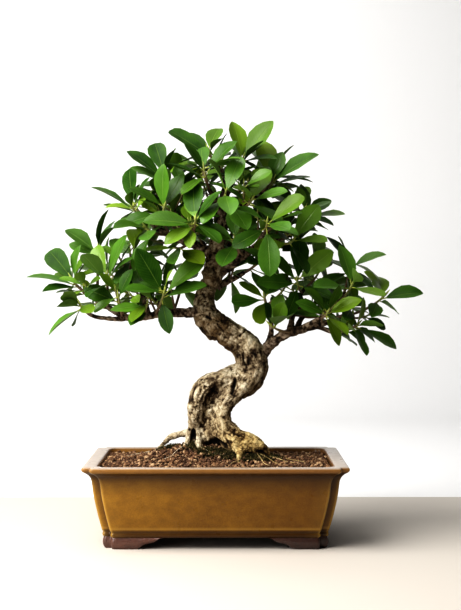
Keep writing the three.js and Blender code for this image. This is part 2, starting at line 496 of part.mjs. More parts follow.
function leafSolid(leaf) {
  const rings = LEAF_STATIONS.slice(0, -1).map(([share, wide]) => {
    const half = leaf.half * wide;
    const [left, right] = [bladePoint(leaf, share, half), bladePoint(leaf, share, -half)];
    return [left, right, bladePoint(leaf, share, 0, -LEAF.rib)];
  });
  const stalk = [[bladePoint(leaf, 0, 0)], rings.shift()];
  stalk.flat().forEach((point) => point.add(leaf.inward));
  return solid(skin([...stalk, ...rings, [bladePoint(leaf, 1, 0)]]));
}

// Points spread over a leaf, a few millimetres apart, that stand for it where clearances are tested.
const ACROSS = [-1, -0.67, -0.33, 0, 0.33, 0.67, 1];
const PROBES = { along: 13, from: 3, twig: 12, bud: 3, knot: 5 };

function leafProbes(leaf, own) {
  const probes = [];
  for (let k = PROBES.from; k <= PROBES.along; k++) {
    const share = k / PROBES.along;
    const station = LEAF_STATIONS.findIndex(([from]) => from >= share);
    const [[from, wideFrom], [to, wideTo]] = [LEAF_STATIONS[station - 1], LEAF_STATIONS[station]];
    const half = leaf.half * mix(wideFrom, wideTo, (share - from) / (to - from));
    for (const across of ACROSS) {
      probes.push({ point: bladePoint(leaf, share, across * half), share, own, radius: 0 });
    }
  }
  return probes;
}

// Points down the middle of a limb, with its radius, for the same tests.
function limbProbes(curve, radiusAt, own, count) {
  return Array.from({ length: count + 1 }, (_, k) => (
    { point: curve.getPoint(k / count), radius: radiusAt(k / count), own, share: 0 }));
}

const CLEAR = { leaf: 3.9, sameShoot: 2.4, wood: 2.4 };

// Whether a leaf stands clear of all that is already placed. Leaves of one shoot meet only near their stalks.
// Only what lies within reach of the blade's middle is measured: nothing else here is thicker than 28.
function standsClear(probes, leaf, taken) {
  const middle = bladePoint(leaf, 0.55, 0);
  const reach = leaf.length * 0.6 + 28;
  const near = taken.filter(({ point }) => point.distanceToSquared(middle) < reach * reach);
  return probes.every((probe) => near.every((other) => {
    const same = other.own === probe.own;
    if (same && (other.radius > 0 || other.share < 0.5 || probe.share < 0.5)) return true;
    const least = other.radius > 0 ? other.radius + CLEAR.wood : same ? CLEAR.sameShoot : CLEAR.leaf;
    return probe.point.distanceToSquared(other.point) >= least * least;
  }));
}

// Places every leaf in turn, and gives each shoot the leaves that found room.
function growLeaves() {
  const taken = [];
  const woods = [TRUNK, ...Object.values(STRANDS), ...Object.values(BRANCHES)];
  for (const points of woods) {
    const radiusAt = (t) => {
      const knot = Math.min(Math.floor(t * (points.length - 1)), points.length - 2);
      return mix(points[knot][3], points[knot + 1][3], t * (points.length - 1) - knot);
    };
    taken.push(...limbProbes(smoothLine(points), radiusAt, -1, points.length * PROBES.knot));
  }
  SHOOTS.forEach((shoot, s) => {
    shoot.line = shootLine(shoot);
    const { curve, heading, end } = shoot.line;
    taken.push(...limbProbes(curve, (t) => mix(TWIG.base, TWIG.tip, t), s, PROBES.twig));
    const bud = new THREE.LineCurve3(end, end.clone().addScaledVector(heading, TWIG.bud));
    taken.push(...limbProbes(bud, (t) => mix(TWIG.tip, 0.1, t), s, PROBES.bud));
  });
  SHOOTS.forEach((shoot, s) => {
    shoot.grown = [];
    for (let i = 0; i < leafCount(shoot); i++) {
      for (let attempt = 0; attempt < TRIES.length; attempt++) {
        const leaf = leafFrame(shoot, s, i, attempt);
        const probes = leafProbes(leaf, s);
        if (!standsClear(probes, leaf, taken)) continue;
        shoot.grown.push(leaf);
        taken.push(...probes);
        break;
      }
    }
  });
}

// A shoot as one solid: its twig with a pointed bud at the end, its leaves, and a foot cut to fit the branch.
function shootSolid(shoot) {
  const { curve, heading, end } = shoot.line;
  const rings = [];
  for (let k = 0; k <= TWIG.steps; k++) {
    const t = k / TWIG.steps;
    const centre = curve.getPoint(t);
    const tangent = curve.getTangent(t);
    const across = vec(0, 1, 0).cross(tangent).normalize();
    const over = tangent.clone().cross(across);
    const radius = mix(TWIG.base, TWIG.tip, t);
    if (k === 0) rings.push([centre]);
    rings.push(Array.from({ length: TWIG.sides }, (_, i) => {
      const turn = (2 * Math.PI * i) / TWIG.sides;
      return centre.clone()
        .addScaledVector(across, radius * Math.cos(turn))
        .addScaledVector(over, radius * Math.sin(turn));
    }));
  }
  rings.push([end.clone().addScaledVector(heading, TWIG.bud)]);
  const branch = BRANCHES[shoot.on];
  const socket = limbSolid(branch, { ...branchFacets(branch), more: 1.5 * GAP });
  const grown = wasm.Manifold.union([solid(skin(rings)), ...shoot.grown.map(leafSolid)]);
  return grown.subtract(socket).simplify(MERGED.shoot);
}

const COLOURS = {
  glaze: new THREE.MeshStandardMaterial({ color: 0x9a6418, roughness: 0.35 }),
  soil: new THREE.MeshStandardMaterial({ color: 0x7a4a2c, roughness: 0.95 }),
  mesh: new THREE.MeshStandardMaterial({ color: 0x20221f, roughness: 0.6 }),
  bark: new THREE.MeshStandardMaterial({ color: 0xa08a66, roughness: 0.9 }),
  leaf: new THREE.MeshStandardMaterial({ color: 0x3f7d2a, roughness: 0.45 }),
};

function named(name, geometry, material) {
  const mesh = new THREE.Mesh(geometry, material);
  mesh.name = name;
  return mesh;
}

growLeaves();
const tree = new THREE.Group();
tree.add(named("pot", geometryOf(potSolid()), COLOURS.glaze));
tree.add(named("trunk", geometryOf(trunkSolid()), COLOURS.bark));

// Each drain screen lies on the pot's floor, in a shallow pocket under the soil.
let soil = soilSolid().subtract(oldWood(SOIL.clear));
for (const [name, x] of [["drain_screen_left", -DRAIN.offset], ["drain_screen_right", DRAIN.offset]]) {
  const screen = named(name, geometryOf(screenSolid()), COLOURS.mesh);
  screen.position.set(x, 0, POT.footHeight + POT.floor + GAP);
  tree.add(screen);
  const room = DRAIN.screen + 2 * GAP;
  const pocket = new THREE.BoxGeometry(room, room, 2 * (DRAIN.thick + 2 * GAP));
  soil = soil.subtract(solid(pocket).translate([x, 0, POT.footHeight + POT.floor]));
}
tree.add(named("soil", geometryOf(soil.simplify(MERGED.soil)), COLOURS.soil));

SHOOTS.forEach((shoot, s) => {
  tree.add(named(`shoot_${String(s + 1).padStart(2, "0")}`, geometryOf(shootSolid(shoot)), COLOURS.leaf));
});

// The origin goes to the middle of the whole tree's box, at the level that the feet stand on.
const middle = new THREE.Box3().setFromObject(tree, true).getCenter(vec(0, 0, 0));
tree.position.set(-middle.x, -middle.y, 0);

export default tree;
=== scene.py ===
# %% [markdown]
# A ginseng ficus in its glazed pot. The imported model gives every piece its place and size, and this script
# dresses it: bark with furrows and pits, leaves with a stalk and a midrib, a glazed pot on clay feet,
# baked-clay granules. Everything new is a surface worked out with numpy from a few sizes, so each cell can
# be read and changed by itself.

import bpy
import numpy as np
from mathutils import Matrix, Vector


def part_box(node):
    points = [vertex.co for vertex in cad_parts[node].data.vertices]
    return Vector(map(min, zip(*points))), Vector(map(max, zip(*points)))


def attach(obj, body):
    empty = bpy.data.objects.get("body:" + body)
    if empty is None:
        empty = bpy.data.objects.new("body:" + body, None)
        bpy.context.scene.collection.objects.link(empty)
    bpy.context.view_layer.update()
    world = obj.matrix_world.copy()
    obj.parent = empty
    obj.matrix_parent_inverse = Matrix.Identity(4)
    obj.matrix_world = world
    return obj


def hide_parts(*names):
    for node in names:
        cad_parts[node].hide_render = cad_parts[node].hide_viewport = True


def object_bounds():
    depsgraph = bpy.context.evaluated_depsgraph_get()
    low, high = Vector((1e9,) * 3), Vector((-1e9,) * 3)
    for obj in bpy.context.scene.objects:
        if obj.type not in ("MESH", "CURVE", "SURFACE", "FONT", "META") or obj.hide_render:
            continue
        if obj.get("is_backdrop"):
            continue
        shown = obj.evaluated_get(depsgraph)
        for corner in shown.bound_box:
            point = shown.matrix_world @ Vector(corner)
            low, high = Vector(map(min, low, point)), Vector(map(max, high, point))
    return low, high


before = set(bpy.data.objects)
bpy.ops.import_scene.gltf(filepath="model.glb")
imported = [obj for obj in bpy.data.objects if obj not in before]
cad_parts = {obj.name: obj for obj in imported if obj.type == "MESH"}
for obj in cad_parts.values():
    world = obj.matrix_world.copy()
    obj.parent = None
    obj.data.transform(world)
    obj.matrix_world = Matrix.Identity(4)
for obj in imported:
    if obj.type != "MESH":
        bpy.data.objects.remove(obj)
cad_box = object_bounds()
print("packed model, in metres:", [round(v, 4) for corner in cad_box for v in corner])

# %% [markdown]
# The tree was laid out in millimetres from the middle of the pot's foot. Blender works in metres, in the
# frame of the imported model, so one function turns the first into the second. The pot is even on all sides,
# so the middle of its box is that point.

# %% From the pot's middle to the frame
MM = 0.001
pot_low, pot_high = (np.array(corner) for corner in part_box("pot"))
POT_MIDDLE = np.array([(pot_low[0] + pot_high[0]) / 2, (pot_low[1] + pot_high[1]) / 2, 0])


def placed(points):
    """Millimetres from the pot's middle as metres in the frame: scaled, then moved by the pot's place."""
    return np.asarray(points, float) * MM + POT_MIDDLE


print("the pot's middle is at", POT_MIDDLE.round(4))

# %% [markdown]
# Nature is uneven, but a script has to give the same tree each time. So nothing here is drawn at random: a
# number that looks random is worked out from whole numbers that name it, such as the shoot and the leaf.
# Smooth noise is the same idea in space: a value for each corner of a grid of cubes, blended inside each
# cube.

# %% Numbers and noise that look random
def draw(a, b, c):
    """A number from 0 to 1: what is left after the point of a large multiple of the sine of a weighted
    sum."""
    wave = np.sin(a * 12.9898 + b * 78.233 + c * 37.719) * 43758.5453
    return wave - np.floor(wave)


def corner_value(cells, seed):
    """A number from 0 to 1 for each whole-number corner: its digits are mixed by large odd factors and
    shifts."""
    x, y, z = (cells[..., k].astype(np.int64) for k in range(3))
    mixed = (x * 374761393 + y * 668265263 + z * 1440662683 + seed * 362437) & 0xFFFFFFFF
    mixed = ((mixed ^ (mixed >> 13)) * 1274126177) & 0xFFFFFFFF
    return ((mixed ^ (mixed >> 16)) & 0xFFFFFFFF) / 0xFFFFFFFF


def noise(points, size, seed=0):
    """Smooth noise from 0 to 1: the values of a cube's eight corners, weighted by an s-curve along each
    axis."""
    scaled = np.asarray(points, float) / size
    cell = np.floor(scaled)
    part = scaled - cell
    part = part * part * (3 - 2 * part)
    total = 0
    for corner in np.ndindex(2, 2, 2):
        weight = np.prod(np.where(np.array(corner, bool), part, 1 - part), axis=-1)
        total = total + weight * corner_value(cell + corner, seed)
    return total


def layered(points, size, layers=3, seed=0):
    """Noise on noise, about from -1 to 1: each layer is half the size and half the strength of the one
    before."""
    total, strength = 0, 1
    for layer in range(layers):
        total = total + strength * (2 * noise(points, size / 2**layer, seed + layer) - 1)
        strength /= 2
    return total


print("ten draws:", draw(np.arange(10), 1, 1).round(2))

# %% [markdown]
# A limb grows along a smooth curve through a few given points. A Catmull-Rom spline passes through
# every one of them, so the points can be read off the real tree. Around the curve goes a ring that is
# carried from point to point without twisting.

# %% Smooth curves and the rings round them
def smooth_line(points, shares):
    """Places on the curve: between two knots, the cubic that has there half the slope from the knot before
    to the knot after. A share counts knots, from 0 at the first to 1 at the last."""
    points = np.asarray(points, float)
    spans = len(points) - 1
    at = np.clip(np.atleast_1d(shares) * spans, 0, spans)
    knot = np.minimum(at.astype(int), spans - 1)
    t = (at - knot)[:, None]
    padded = np.vstack([2 * points[0] - points[1], points, 2 * points[-1] - points[-2]])
    before, start, end, after = (padded[knot + k] for k in range(4))
    leave, arrive = (end - before) / 2, (after - start) / 2
    bend = 3 * (end - start) - 2 * leave - arrive
    return start + leave * t + bend * t**2 + (2 * (start - end) + leave + arrive) * t**3


def unit(vectors):
    """The same direction with length 1."""
    return vectors / np.maximum(np.linalg.norm(vectors, axis=-1, keepdims=True), 1e-12)


def carried_frames(line):
    """For each point of a line, its direction and two directions across it. The first pair across is
    carried along: at each step only what has come to lie along the line is taken away."""
    direction = unit(np.gradient(line, axis=0))
    across = np.zeros_like(direction)
    guide = np.eye(3)[np.argmin(np.abs(direction[0]))]
    for k, ahead in enumerate(direction):
        guide = unit(guide - ahead * (guide @ ahead))
        across[k] = guide
    return direction, across, np.cross(direction, across)


def length_along(line):
    """How far along the line each of its points lies."""
    return np.concatenate([[0], np.cumsum(np.linalg.norm(np.diff(line, axis=0), axis=1))])


def spokes(across, over, turn):
    """Directions at these turns round each point of a line, from its two directions across."""
    return np.cos(turn)[None, :, None] * across[:, None] + np.sin(turn)[None, :, None] * over[:, None]


def evenly(points, step):
    """Shares of a curve that are about one step apart along it: the length so far is inverted."""
    fine = np.linspace(0, 1, 40 * len(points))
    line = smooth_line(points, fine)[:, :3]
    length = length_along(line)
    count = max(4, round(length[-1] / step) + 1)
    return np.interp(np.linspace(0, length[-1], count), length, fine)


def tube(points, sides, step, swell=None):
    """Rings of a limb whose points are x, y, z and radius: around each place on the curve, a circle of the
    radius there. swell(rings, line, turn) may give a factor for each point of each ring."""
    line = smooth_line(points, evenly(points, step))
    centre, radius = line[:, :3], np.maximum(line[:, 3], 0.05)
    direction, across, over = carried_frames(centre)
    turn = 2 * np.pi * np.arange(sides) / sides
    reach = radius[:, None] * np.ones(sides)
    if swell is not None:
        reach = reach * swell(centre, radius, turn)
    return centre[:, None] + reach[..., None] * spokes(across, over, turn)


def skin(rings):
    """Points and faces of a closed tube: quads between rings that follow each other, and a face on each
    end."""
    count, sides = rings.shape[:2]
    first = np.arange((count - 1) * sides).reshape(count - 1, sides)
    beside = np.roll(first, -1, axis=1)
    quads = np.stack([first, beside, beside + sides, first + sides], axis=-1).reshape(-1, 4)
    last = (count - 1) * sides + np.arange(sides)
    return rings.reshape(-1, 3), [*quads.tolist(), np.arange(sides)[::-1].tolist(), last.tolist()]


# %% [markdown]
# Every piece ends up as a mesh object at the origin, with its place in its points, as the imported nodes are.
# Masks that a material needs, such as how deep a point lies in the bark, are kept as attributes of the
# mesh.

# %% From points and faces to a piece
def joined(parts):
    """Several (points, faces) as one: each part's faces count on from the points before it."""
    points, faces, start = [], [], 0
    for part_points, part_faces in parts:
        points.append(part_points)
        faces.extend([[start + i for i in face] for face in part_faces])
        start += len(part_points)
    return np.vstack(points), faces


def mesh_of(name, points, faces, smooth=True):
    """A mesh from points in metres and lists of point numbers."""
    mesh = bpy.data.meshes.new(name)
    mesh.from_pydata(np.asarray(points).tolist(), [], faces)
    mesh.polygons.foreach_set("use_smooth", np.full(len(mesh.polygons), smooth))
    mesh.update()
    return mesh


def shown(name, mesh):
    """The mesh as an object of the scene."""
    piece = bpy.data.objects.new(name, mesh)
    bpy.context.scene.collection.objects.link(piece)
    return piece


def keep_values(mesh, name, values):
    """Stores one number for each point of the mesh, which a material reads by the attribute's name."""
    attribute = mesh.attributes.new(name, "FLOAT", "POINT")
    attribute.data.foreach_set("value", np.asarray(values, np.float32))


def points_of(mesh, key="co"):
    """The mesh's points, or their normals, as an array of rows of three."""
    values = np.zeros(len(mesh.vertices) * 3, np.float32)
    mesh.vertices.foreach_get(key, values)
    return values.reshape(-1, 3).astype(float)


# %% [markdown]
# The old wood: an S of trunk, thick roots that have grown together with it, and the roots that spread over
# the soil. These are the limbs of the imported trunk, point for point, in millimetres: x, y, z and radius.

# %% The limbs of the old wood
TRUNK = [
    [0, 6, 62, 14], [-2, 6, 95, 20], [-6, 6, 120, 22], [-7, 7, 146, 21.5], [-3, 7, 170, 20.5],
    [15, 6, 181, 20.5], [35, 4, 189, 21], [43, 2, 207, 19.5], [36, 0, 226, 17.5], [20, -2, 239, 16.2],
    [2, -3, 250, 16.2], [-11, -3, 262, 16], [-14, -1, 278, 12.8], [-12, 1, 293, 10.8],
    [-5, 2, 308, 11.8], [-2, 1, 323, 12.2], [0, 0, 340, 10.6], [3, 0, 354, 9], [7, 0, 371, 7.2],
    [10, 2, 395, 5.2],
]
STRANDS = {
    "fused_root_left": [
        [24, -3, 190, 9], [3, -7, 188, 11], [-13, -9, 179, 12.5], [-21, -9, 164, 12.8], [-23, -9, 147, 11.2],
        [-26, -8, 130, 8.4], [-32, -9, 117, 5.4], [-37, -11, 101, 4], [-39, -12, 88, 3]],
    "fused_root_right": [
        [42, -4, 190, 11], [29, -8, 176, 11], [15, -11, 163, 10], [7, -12, 147, 10.4], [9, -12, 133, 11.4],
        [20, -13, 121, 12], [35, -13, 115, 11], [48, -14, 110, 8.8], [59, -15, 101, 6], [66, -17, 87, 3]],
    "root_left_front": [[-24, -9, 130, 7], [-21, -14, 116, 4.8], [-19, -19, 104, 3.8], [-18, -22, 90, 3]],
    "root_left_arch": [
        [-24, 0, 124, 7], [-40, 4, 122, 4.4], [-53, 8, 118, 3.6], [-64, 11, 109, 3.2], [-73, 13, 98, 3],
        [-80, 14, 86, 2.5]],
    "root_toe": [
        [18, -13, 118, 9], [26, -20, 109, 7.4], [28, -31, 102, 5.4], [27, -40, 96, 4.4], [26, -45, 86, 3.5]],
    "root_front_right": [[4, -12, 124, 11], [18, -22, 111, 8], [44, -24, 101, 5.5], [54, -30, 90, 3.2]],
    "root_back_left": [[-15, 12, 126, 9], [-28, 28, 114, 7.2], [-38, 43, 101, 5.2], [-46, 55, 88, 3.4]],
    "root_back": [[0, 14, 126, 10], [5, 31, 114, 7.6], [9, 47, 101, 5], [12, 60, 88, 3.4]],
    "root_back_right": [[15, 9, 125, 9], [32, 21, 114, 7.2], [46, 33, 102, 5.2], [58, 43, 88, 3.4]],
    "scar": [[6, -3, 249, 13.5], [-5, -4, 243, 10], [-11, -4, 239, 6]],
    "knot": [[-4, -2, 312, 8], [-11, -6, 314, 8], [-15, -8, 313, 5.4]],
}

# %% The branches
BRANCHES = {
    "leftLow": [
        [-6, -3, 262, 8.5], [-24, -8, 267, 7], [-46, -12, 267, 6], [-66, -14, 266, 5.4], [-84, -14, 262, 4.8],
        [-104, -12, 261, 4.2], [-122, -10, 270, 3.5], [-138, -8, 280, 3], [-154, -6, 290, 2.6]],
    "leftLowOuter": [
        [-100, -12, 261, 3.6], [-120, -20, 260, 2.9], [-142, -25, 263, 2.5], [-156, -26, 271, 2.2]],
    "leftLowUp": [[-80, -14, 263, 3.8], [-86, -6, 284, 3.2], [-95, 0, 304, 2.7], [-106, 8, 322, 2.3]],
    "leftLowBack": [[-56, -13, 267, 4.2], [-68, 8, 277, 3.5], [-86, 30, 290, 3], [-108, 40, 302, 2.6]],
    "rightLow": [
        [42, 2, 212, 9], [58, 0, 222, 7.8], [68, -2, 232, 6.9], [79, -4, 240, 6.2], [92, -6, 244, 5.6],
        [106, -6, 248, 5], [120, -8, 252, 4], [134, -10, 257, 3.2], [150, -8, 263, 2.6]],
    "rightLowNear": [[59, 0, 222, 4.6], [65, 1, 240, 3.5], [65, 1, 256, 2.9], [60, -1, 276, 2.3]],
    "rightLowUp": [[88, -5, 245, 4.2], [91, 4, 262, 3.3], [97, 12, 280, 2.8], [106, 18, 296, 2.4]],
    "rightLowOut": [[104, -6, 248, 4.2], [122, 4, 259, 3.3], [140, 8, 275, 2.8], [154, 8, 291, 2.4]],
    "rightLowFront": [[96, -6, 246, 3.8], [110, -20, 254, 3.1], [124, -30, 262, 2.6]],
    "rightLowDown": [[118, -8, 251, 3.2], [136, -15, 246, 2.6], [153, -18, 247, 2.2]],
    "rightLowBack": [[94, -6, 245, 3.8], [104, 20, 262, 3.2], [120, 42, 278, 2.6]],
    "upperLeft": [
        [2, 0, 333, 7.5], [-14, -2, 342, 6.2], [-33, -4, 350, 5.3], [-56, -6, 359, 4.5], [-73, -6, 370, 3.7],
        [-84, -5, 381, 2.9]],
    "upperLeftFront": [[-25, -3, 347, 3.8], [-27, -24, 354, 3.1], [-26, -44, 362, 2.6]],
    "upperLeftUp": [[-32, -4, 350, 4.2], [-43, 2, 370, 3.5], [-52, 4, 392, 2.9], [-58, 3, 411, 2.4]],
    "upperLeftBack": [[-12, 0, 342, 4.4], [-30, 24, 353, 3.5], [-47, 42, 368, 2.8]],
    "midRight": [
        [0, 2, 312, 7], [15, 0, 321, 5.8], [31, -2, 334, 5], [49, -4, 346, 4.4], [66, -4, 351, 3.8],
        [83, -2, 357, 3.2], [97, 0, 367, 2.6]],
    "midRightLow": [[2, 3, 299, 5], [18, 10, 306, 3.7], [33, 14, 315, 3]],
    "midRightFront": [[38, -3, 339, 3.8], [49, -24, 349, 3.1], [57, -45, 361, 2.6]],
    "midRightOut": [[64, -4, 350, 3.4], [80, 6, 346, 2.8], [95, 14, 342, 2.4]],
    "topRight": [[6, 0, 367, 5.4], [20, -2, 384, 4.3], [38, -5, 400, 3.5], [54, -8, 410, 2.8]],
    "topLeft": [[8, 0, 379, 5], [1, -9, 397, 3.9], [-8, -20, 412, 3]],
    "topFront": [[9, 0, 386, 4.4], [21, -15, 391, 3.3], [32, -27, 391, 2.7]],
    "leader": [[8, 1, 378, 6.4], [10, 2, 396, 5.2], [10, 4, 418, 3.8], [4, 5, 438, 2.5]],
    "topMiddle": [[10, 2, 403, 4], [19, -2, 422, 3.1], [26, -6, 436, 2.5]],
    "topBackLeft": [[7, 2, 374, 4.6], [-2, 22, 388, 3.7], [-8, 42, 402, 3]],
    "topBackRight": [[8, 2, 384, 4.4], [21, 22, 394, 3.5], [34, 42, 403, 2.8]],
    "backLow": [[0, 3, 328, 6], [5, 26, 338, 4.4], [13, 50, 348, 3.5], [24, 72, 358, 2.8]],
    "backLeft": [[-2, 3, 322, 6], [-10, 30, 335, 4.3], [-16, 56, 349, 3.5], [-20, 76, 361, 2.8]],
}
print(len(STRANDS), "strands and", len(BRANCHES), "branches")

# %% [markdown]
# The trunk's limbs have to melt into one body with soft hollows between them, as wood that has grown
# together does. Tubes that only cross would show hard seams. So the tubes are joined by a voxel remesh,
# which keeps just their common outside, and the seams are then relaxed. A finer voxel gives finer bark and
# costs more faces.

# %% Melt the old wood into one body
VOXEL = 1.15 * MM
RELAX = {"factor": 0.5, "iterations": 6}
LIMB = {"trunk_sides": 28, "strand_sides": 18, "step": 2.5}

limb_parts = [skin(tube(TRUNK, LIMB["trunk_sides"], LIMB["step"]))]
limb_parts += [skin(tube(points, LIMB["strand_sides"], LIMB["step"])) for points in STRANDS.values()]
wood_points, wood_faces = joined(limb_parts)
rough_wood = shown("rough_wood", mesh_of("rough_wood", placed(wood_points), wood_faces))
remesh = rough_wood.modifiers.new("one_body", "REMESH")
remesh.mode, remesh.voxel_size = "VOXEL", VOXEL
relax = rough_wood.modifiers.new("relaxed", "SMOOTH")
relax.factor, relax.iterations = RELAX["factor"], RELAX["iterations"]
wood_mesh = bpy.data.meshes.new_from_object(rough_wood.evaluated_get(bpy.context.evaluated_depsgraph_get()))
bpy.data.objects.remove(rough_wood)
print("the old wood has", len(wood_mesh.vertices), "points")

# %% [markdown]
# Bark is relief first and colour second: furrows run along each limb, with knobs and pits between them. To
# make a furrow follow its limb, a point is described by how far along the limb it lies and by its turn
# round it. Noise that is stretched along the limb then gives furrows. Where two limbs meet, their reliefs
# are blended.

# %% Relief that runs along the limbs
def along_limb(points, limb):
    """For each point: the distance to the limb's line as a share of its radius, and a place for noise,
    which is the offset from the line and, in the third number, the length along the limb."""
    shares = evenly(limb, 2.0)
    line = smooth_line(limb, shares)
    _, across, over = carried_frames(line[:, :3])
    length = length_along(line[:, :3])
    gap = ((points[:, None] - line[None, :, :3]) ** 2).sum(-1)
    nearest = gap.argmin(1)
    offset = points - line[nearest, :3]
    spread = np.stack([
        (offset * across[nearest]).sum(1), (offset * over[nearest]).sum(1), length[nearest]], axis=1)
    return np.sqrt(gap.min(1)) / line[nearest, 3], spread, line[nearest, 3]


FURROW = {"pitch": 4.4, "stretch": 0.34, "depth": 1.5}
WRINKLE = {"pitch": 4.2, "stretch": 0.22, "depth": 1.1, "low": 185, "high": 230, "sway_size": 9.0}
CRACK_WIDTH = 0.3
KNOB = {"size": 11.0, "height": 0.96}
PIT = {"size": 3.6, "from": 0.7, "depth": 1.6}
FINE = {"size": 2.4, "height": 0.6}
CALM_RADIUS = 15.0  # a limb this thick has the full relief, and a thinner one its share
BLEND_SHARPNESS = 9  # how soon the relief of a nearer limb takes over from another's
WEATHER = {"size": 20.0, "slope": 2.2, "less": 0.25, "least": 0.35}  # where cracks are worn smooth


def bark_relief(points):
    """How far bark stands out at each point, in millimetres, and how much of a crack it is. Ridges are
    folded noise, which has sharp valleys: these are the cracks. Higher up, wrinkles of the same kind run
    across the limb. Knobs and grain are plain noise, and pits are cut where another noise is highest. Some
    patches are smoother."""
    total, cracks, weights = np.zeros(len(points)), np.zeros(len(points)), np.zeros(len(points))
    upper = np.clip((points[:, 2] - WRINKLE["low"]) / (WRINKLE["high"] - WRINKLE["low"]), 0, 1)
    for seed, limb in enumerate([TRUNK, *STRANDS.values()]):
        closeness, spread, radius = along_limb(points, limb)
        stretched = spread * [1, 1, FURROW["stretch"]]
        broad = np.abs(2 * noise(stretched, FURROW["pitch"], 20 * seed) - 1)
        narrow = np.abs(2 * noise(stretched, FURROW["pitch"] / 2, 20 * seed + 1) - 1)
        sway = 2 * layered(points, WRINKLE["sway_size"], 1, 20 * seed + 3)
        across = spread * [WRINKLE["stretch"], WRINKLE["stretch"], 1] + sway[:, None]
        wrinkle = np.abs(2 * noise(across, WRINKLE["pitch"], 20 * seed + 2) - 1)
        calm = np.clip(radius / CALM_RADIUS, 0.2, 1)
        along = (broad + 0.5 * narrow - 0.6) * (1 - 0.55 * upper)
        relief = (FURROW["depth"] * along + WRINKLE["depth"] * (wrinkle - 0.4) * upper) * calm
        furrow_crack = 1 - np.minimum(broad, narrow + 0.1) / CRACK_WIDTH
        crack = np.maximum(furrow_crack, (1 - wrinkle / CRACK_WIDTH) * upper)
        weight = np.exp(-BLEND_SHARPNESS * np.maximum(closeness, 0.2)) + 1e-9
        total, weights = total + weight * relief, weights + weight
        cracks += weight * np.clip(crack, 0, 1) * calm
    relief, cracks = total / weights, cracks / weights
    relief += KNOB["height"] * layered(points, KNOB["size"], 2, 300)
    relief += FINE["height"] * layered(points, FINE["size"], 2, 330)
    pits = np.clip((noise(points * [1, 1, 0.7], PIT["size"], 360) - PIT["from"]) / (1 - PIT["from"]), 0, 1)
    weather = WEATHER["slope"] * noise(points, WEATHER["size"], 380) - WEATHER["less"]
    weathered = np.clip(weather, WEATHER["least"], 1)
    return relief - PIT["depth"] * pits**0.7, np.maximum(cracks * weathered, pits)


# %% [markdown]
# A few marks are this tree's own: the deep slot between the trunk and the root that has grown along it, the
# hollows between the strands, knot holes, and the caves under the roots. Each is a short line as seen from
# the front, in x and z, with a width and a depth, and the bark that faces the front sinks towards it. How
# deep it sinks also paints the bark darker there, down to black: painted shade.

# %% Hollows and knot holes
HOLLOWS = [
    ([[-14, 257], [-15, 250], [-10, 243]], 1.0, 1.6), ([[-19, 256], [-17, 248]], 0.9, 1.4),
    ([[-8, 256], [-9, 249], [-4, 241]], 1.0, 1.6), ([[-2, 251], [3, 244]], 0.9, 1.2),
    ([[2, 254], [8, 246], [10, 238]], 1.1, 1.6), ([[-5, 238], [2, 233]], 1.0, 1.4),
    ([[12, 244], [16, 238]], 0.9, 1.2), ([[-12, 240], [-8, 236]], 0.9, 1.4),
    ([[-10.5, 262.5], [-6, 260.5]], 1.5, 3.6), ([[-20, 247], [-14, 238], [-2, 232]], 2.6, 2.2),
    ([[22.5, 188], [21, 182], [18, 173]], 1.7, 4.5), ([[1, 186], [-1, 176], [-4, 162]], 4.2, 2),
    ([[-24, 184], [-28, 172], [-30, 160]], 1.5, 2), ([[-17, 181], [-19, 174]], 1.2, 2.6),
    ([[-15, 168], [-16, 166]], 1.0, 2.4), ([[-20, 143], [-17, 132]], 1.1, 1.5),
    ([[-12, 141], [-16, 132]], 1.1, 1.5), ([[-27, 127], [-27.5, 106]], 2.4, 6),
    ([[-10, 110], [0, 113], [8, 109]], 4.6, 6), ([[38, 98], [47, 100], [58, 96]], 4.6, 6),
    ([[31, 216], [32, 208]], 1.2, 3), ([[27, 217], [28, 210]], 1.0, 2.2), ([[37, 214], [38, 207]], 1.1, 2.6),
    ([[34, 207], [36, 202]], 0.9, 2), ([[42, 223], [50, 216]], 2.4, 1.6), ([[24, 238], [34, 245]], 1.0, 1.6),
    ([[14, 132], [24, 124], [34, 121]], 1.1, 1.6), ([[10, 126], [18, 108]], 1.4, 2.4),
    ([[-12, 300], [-6, 298]], 1.8, 2.4), ([[-16, 290], [-12, 284]], 1.4, 2),
    ([[-4, 320], [0, 314]], 1.6, 2.4),
]
# Where each brown mark sets in, in millimetres, and over what distance it grows to the full. Below 0 it grows
# downwards or to the left. The keys upper, left and top shape the upper trunk's own brown; the others shape
# painted shade.
STAIN_AND_SHADE = {
    "soil": (118, 12), "lower_bend": (126, 12), "upper_bend": (224, -10), "upper": (230, 12),
    "left": (26, -12), "top": (260, 10), "toe_right": (46, 10), "toe_low": (114, -6), "neck_right": (20, 6)}
NECK_HEIGHT = 211


def hollow_depth(points, normals):
    """How deep the hollows sink each point, in millimetres: a bell curve of the distance to each hollow's
    line, as seen from the front, times how squarely the surface faces the front."""
    facing = np.clip(-2.2 * normals[:, 1], 0, 1)
    depth = np.zeros(len(points))
    for ends, width, sink in HOLLOWS:
        line = smooth_line(ends, np.linspace(0, 1, 12))
        gap = np.sqrt(((points[:, None, [0, 2]] - line[None]) ** 2).sum(-1).min(1))
        depth = np.maximum(depth, sink * np.exp(-((gap / width) ** 2)) * facing)
    return depth


def past(values, name, least=0):
    """How far values are past the place where a brown mark sets in, from 0 to 1 at its full strength. The
    marks are brown stains and painted shade.
    """
    start, span = STAIN_AND_SHADE[name]
    return np.clip((values - start) / span, least, 1)


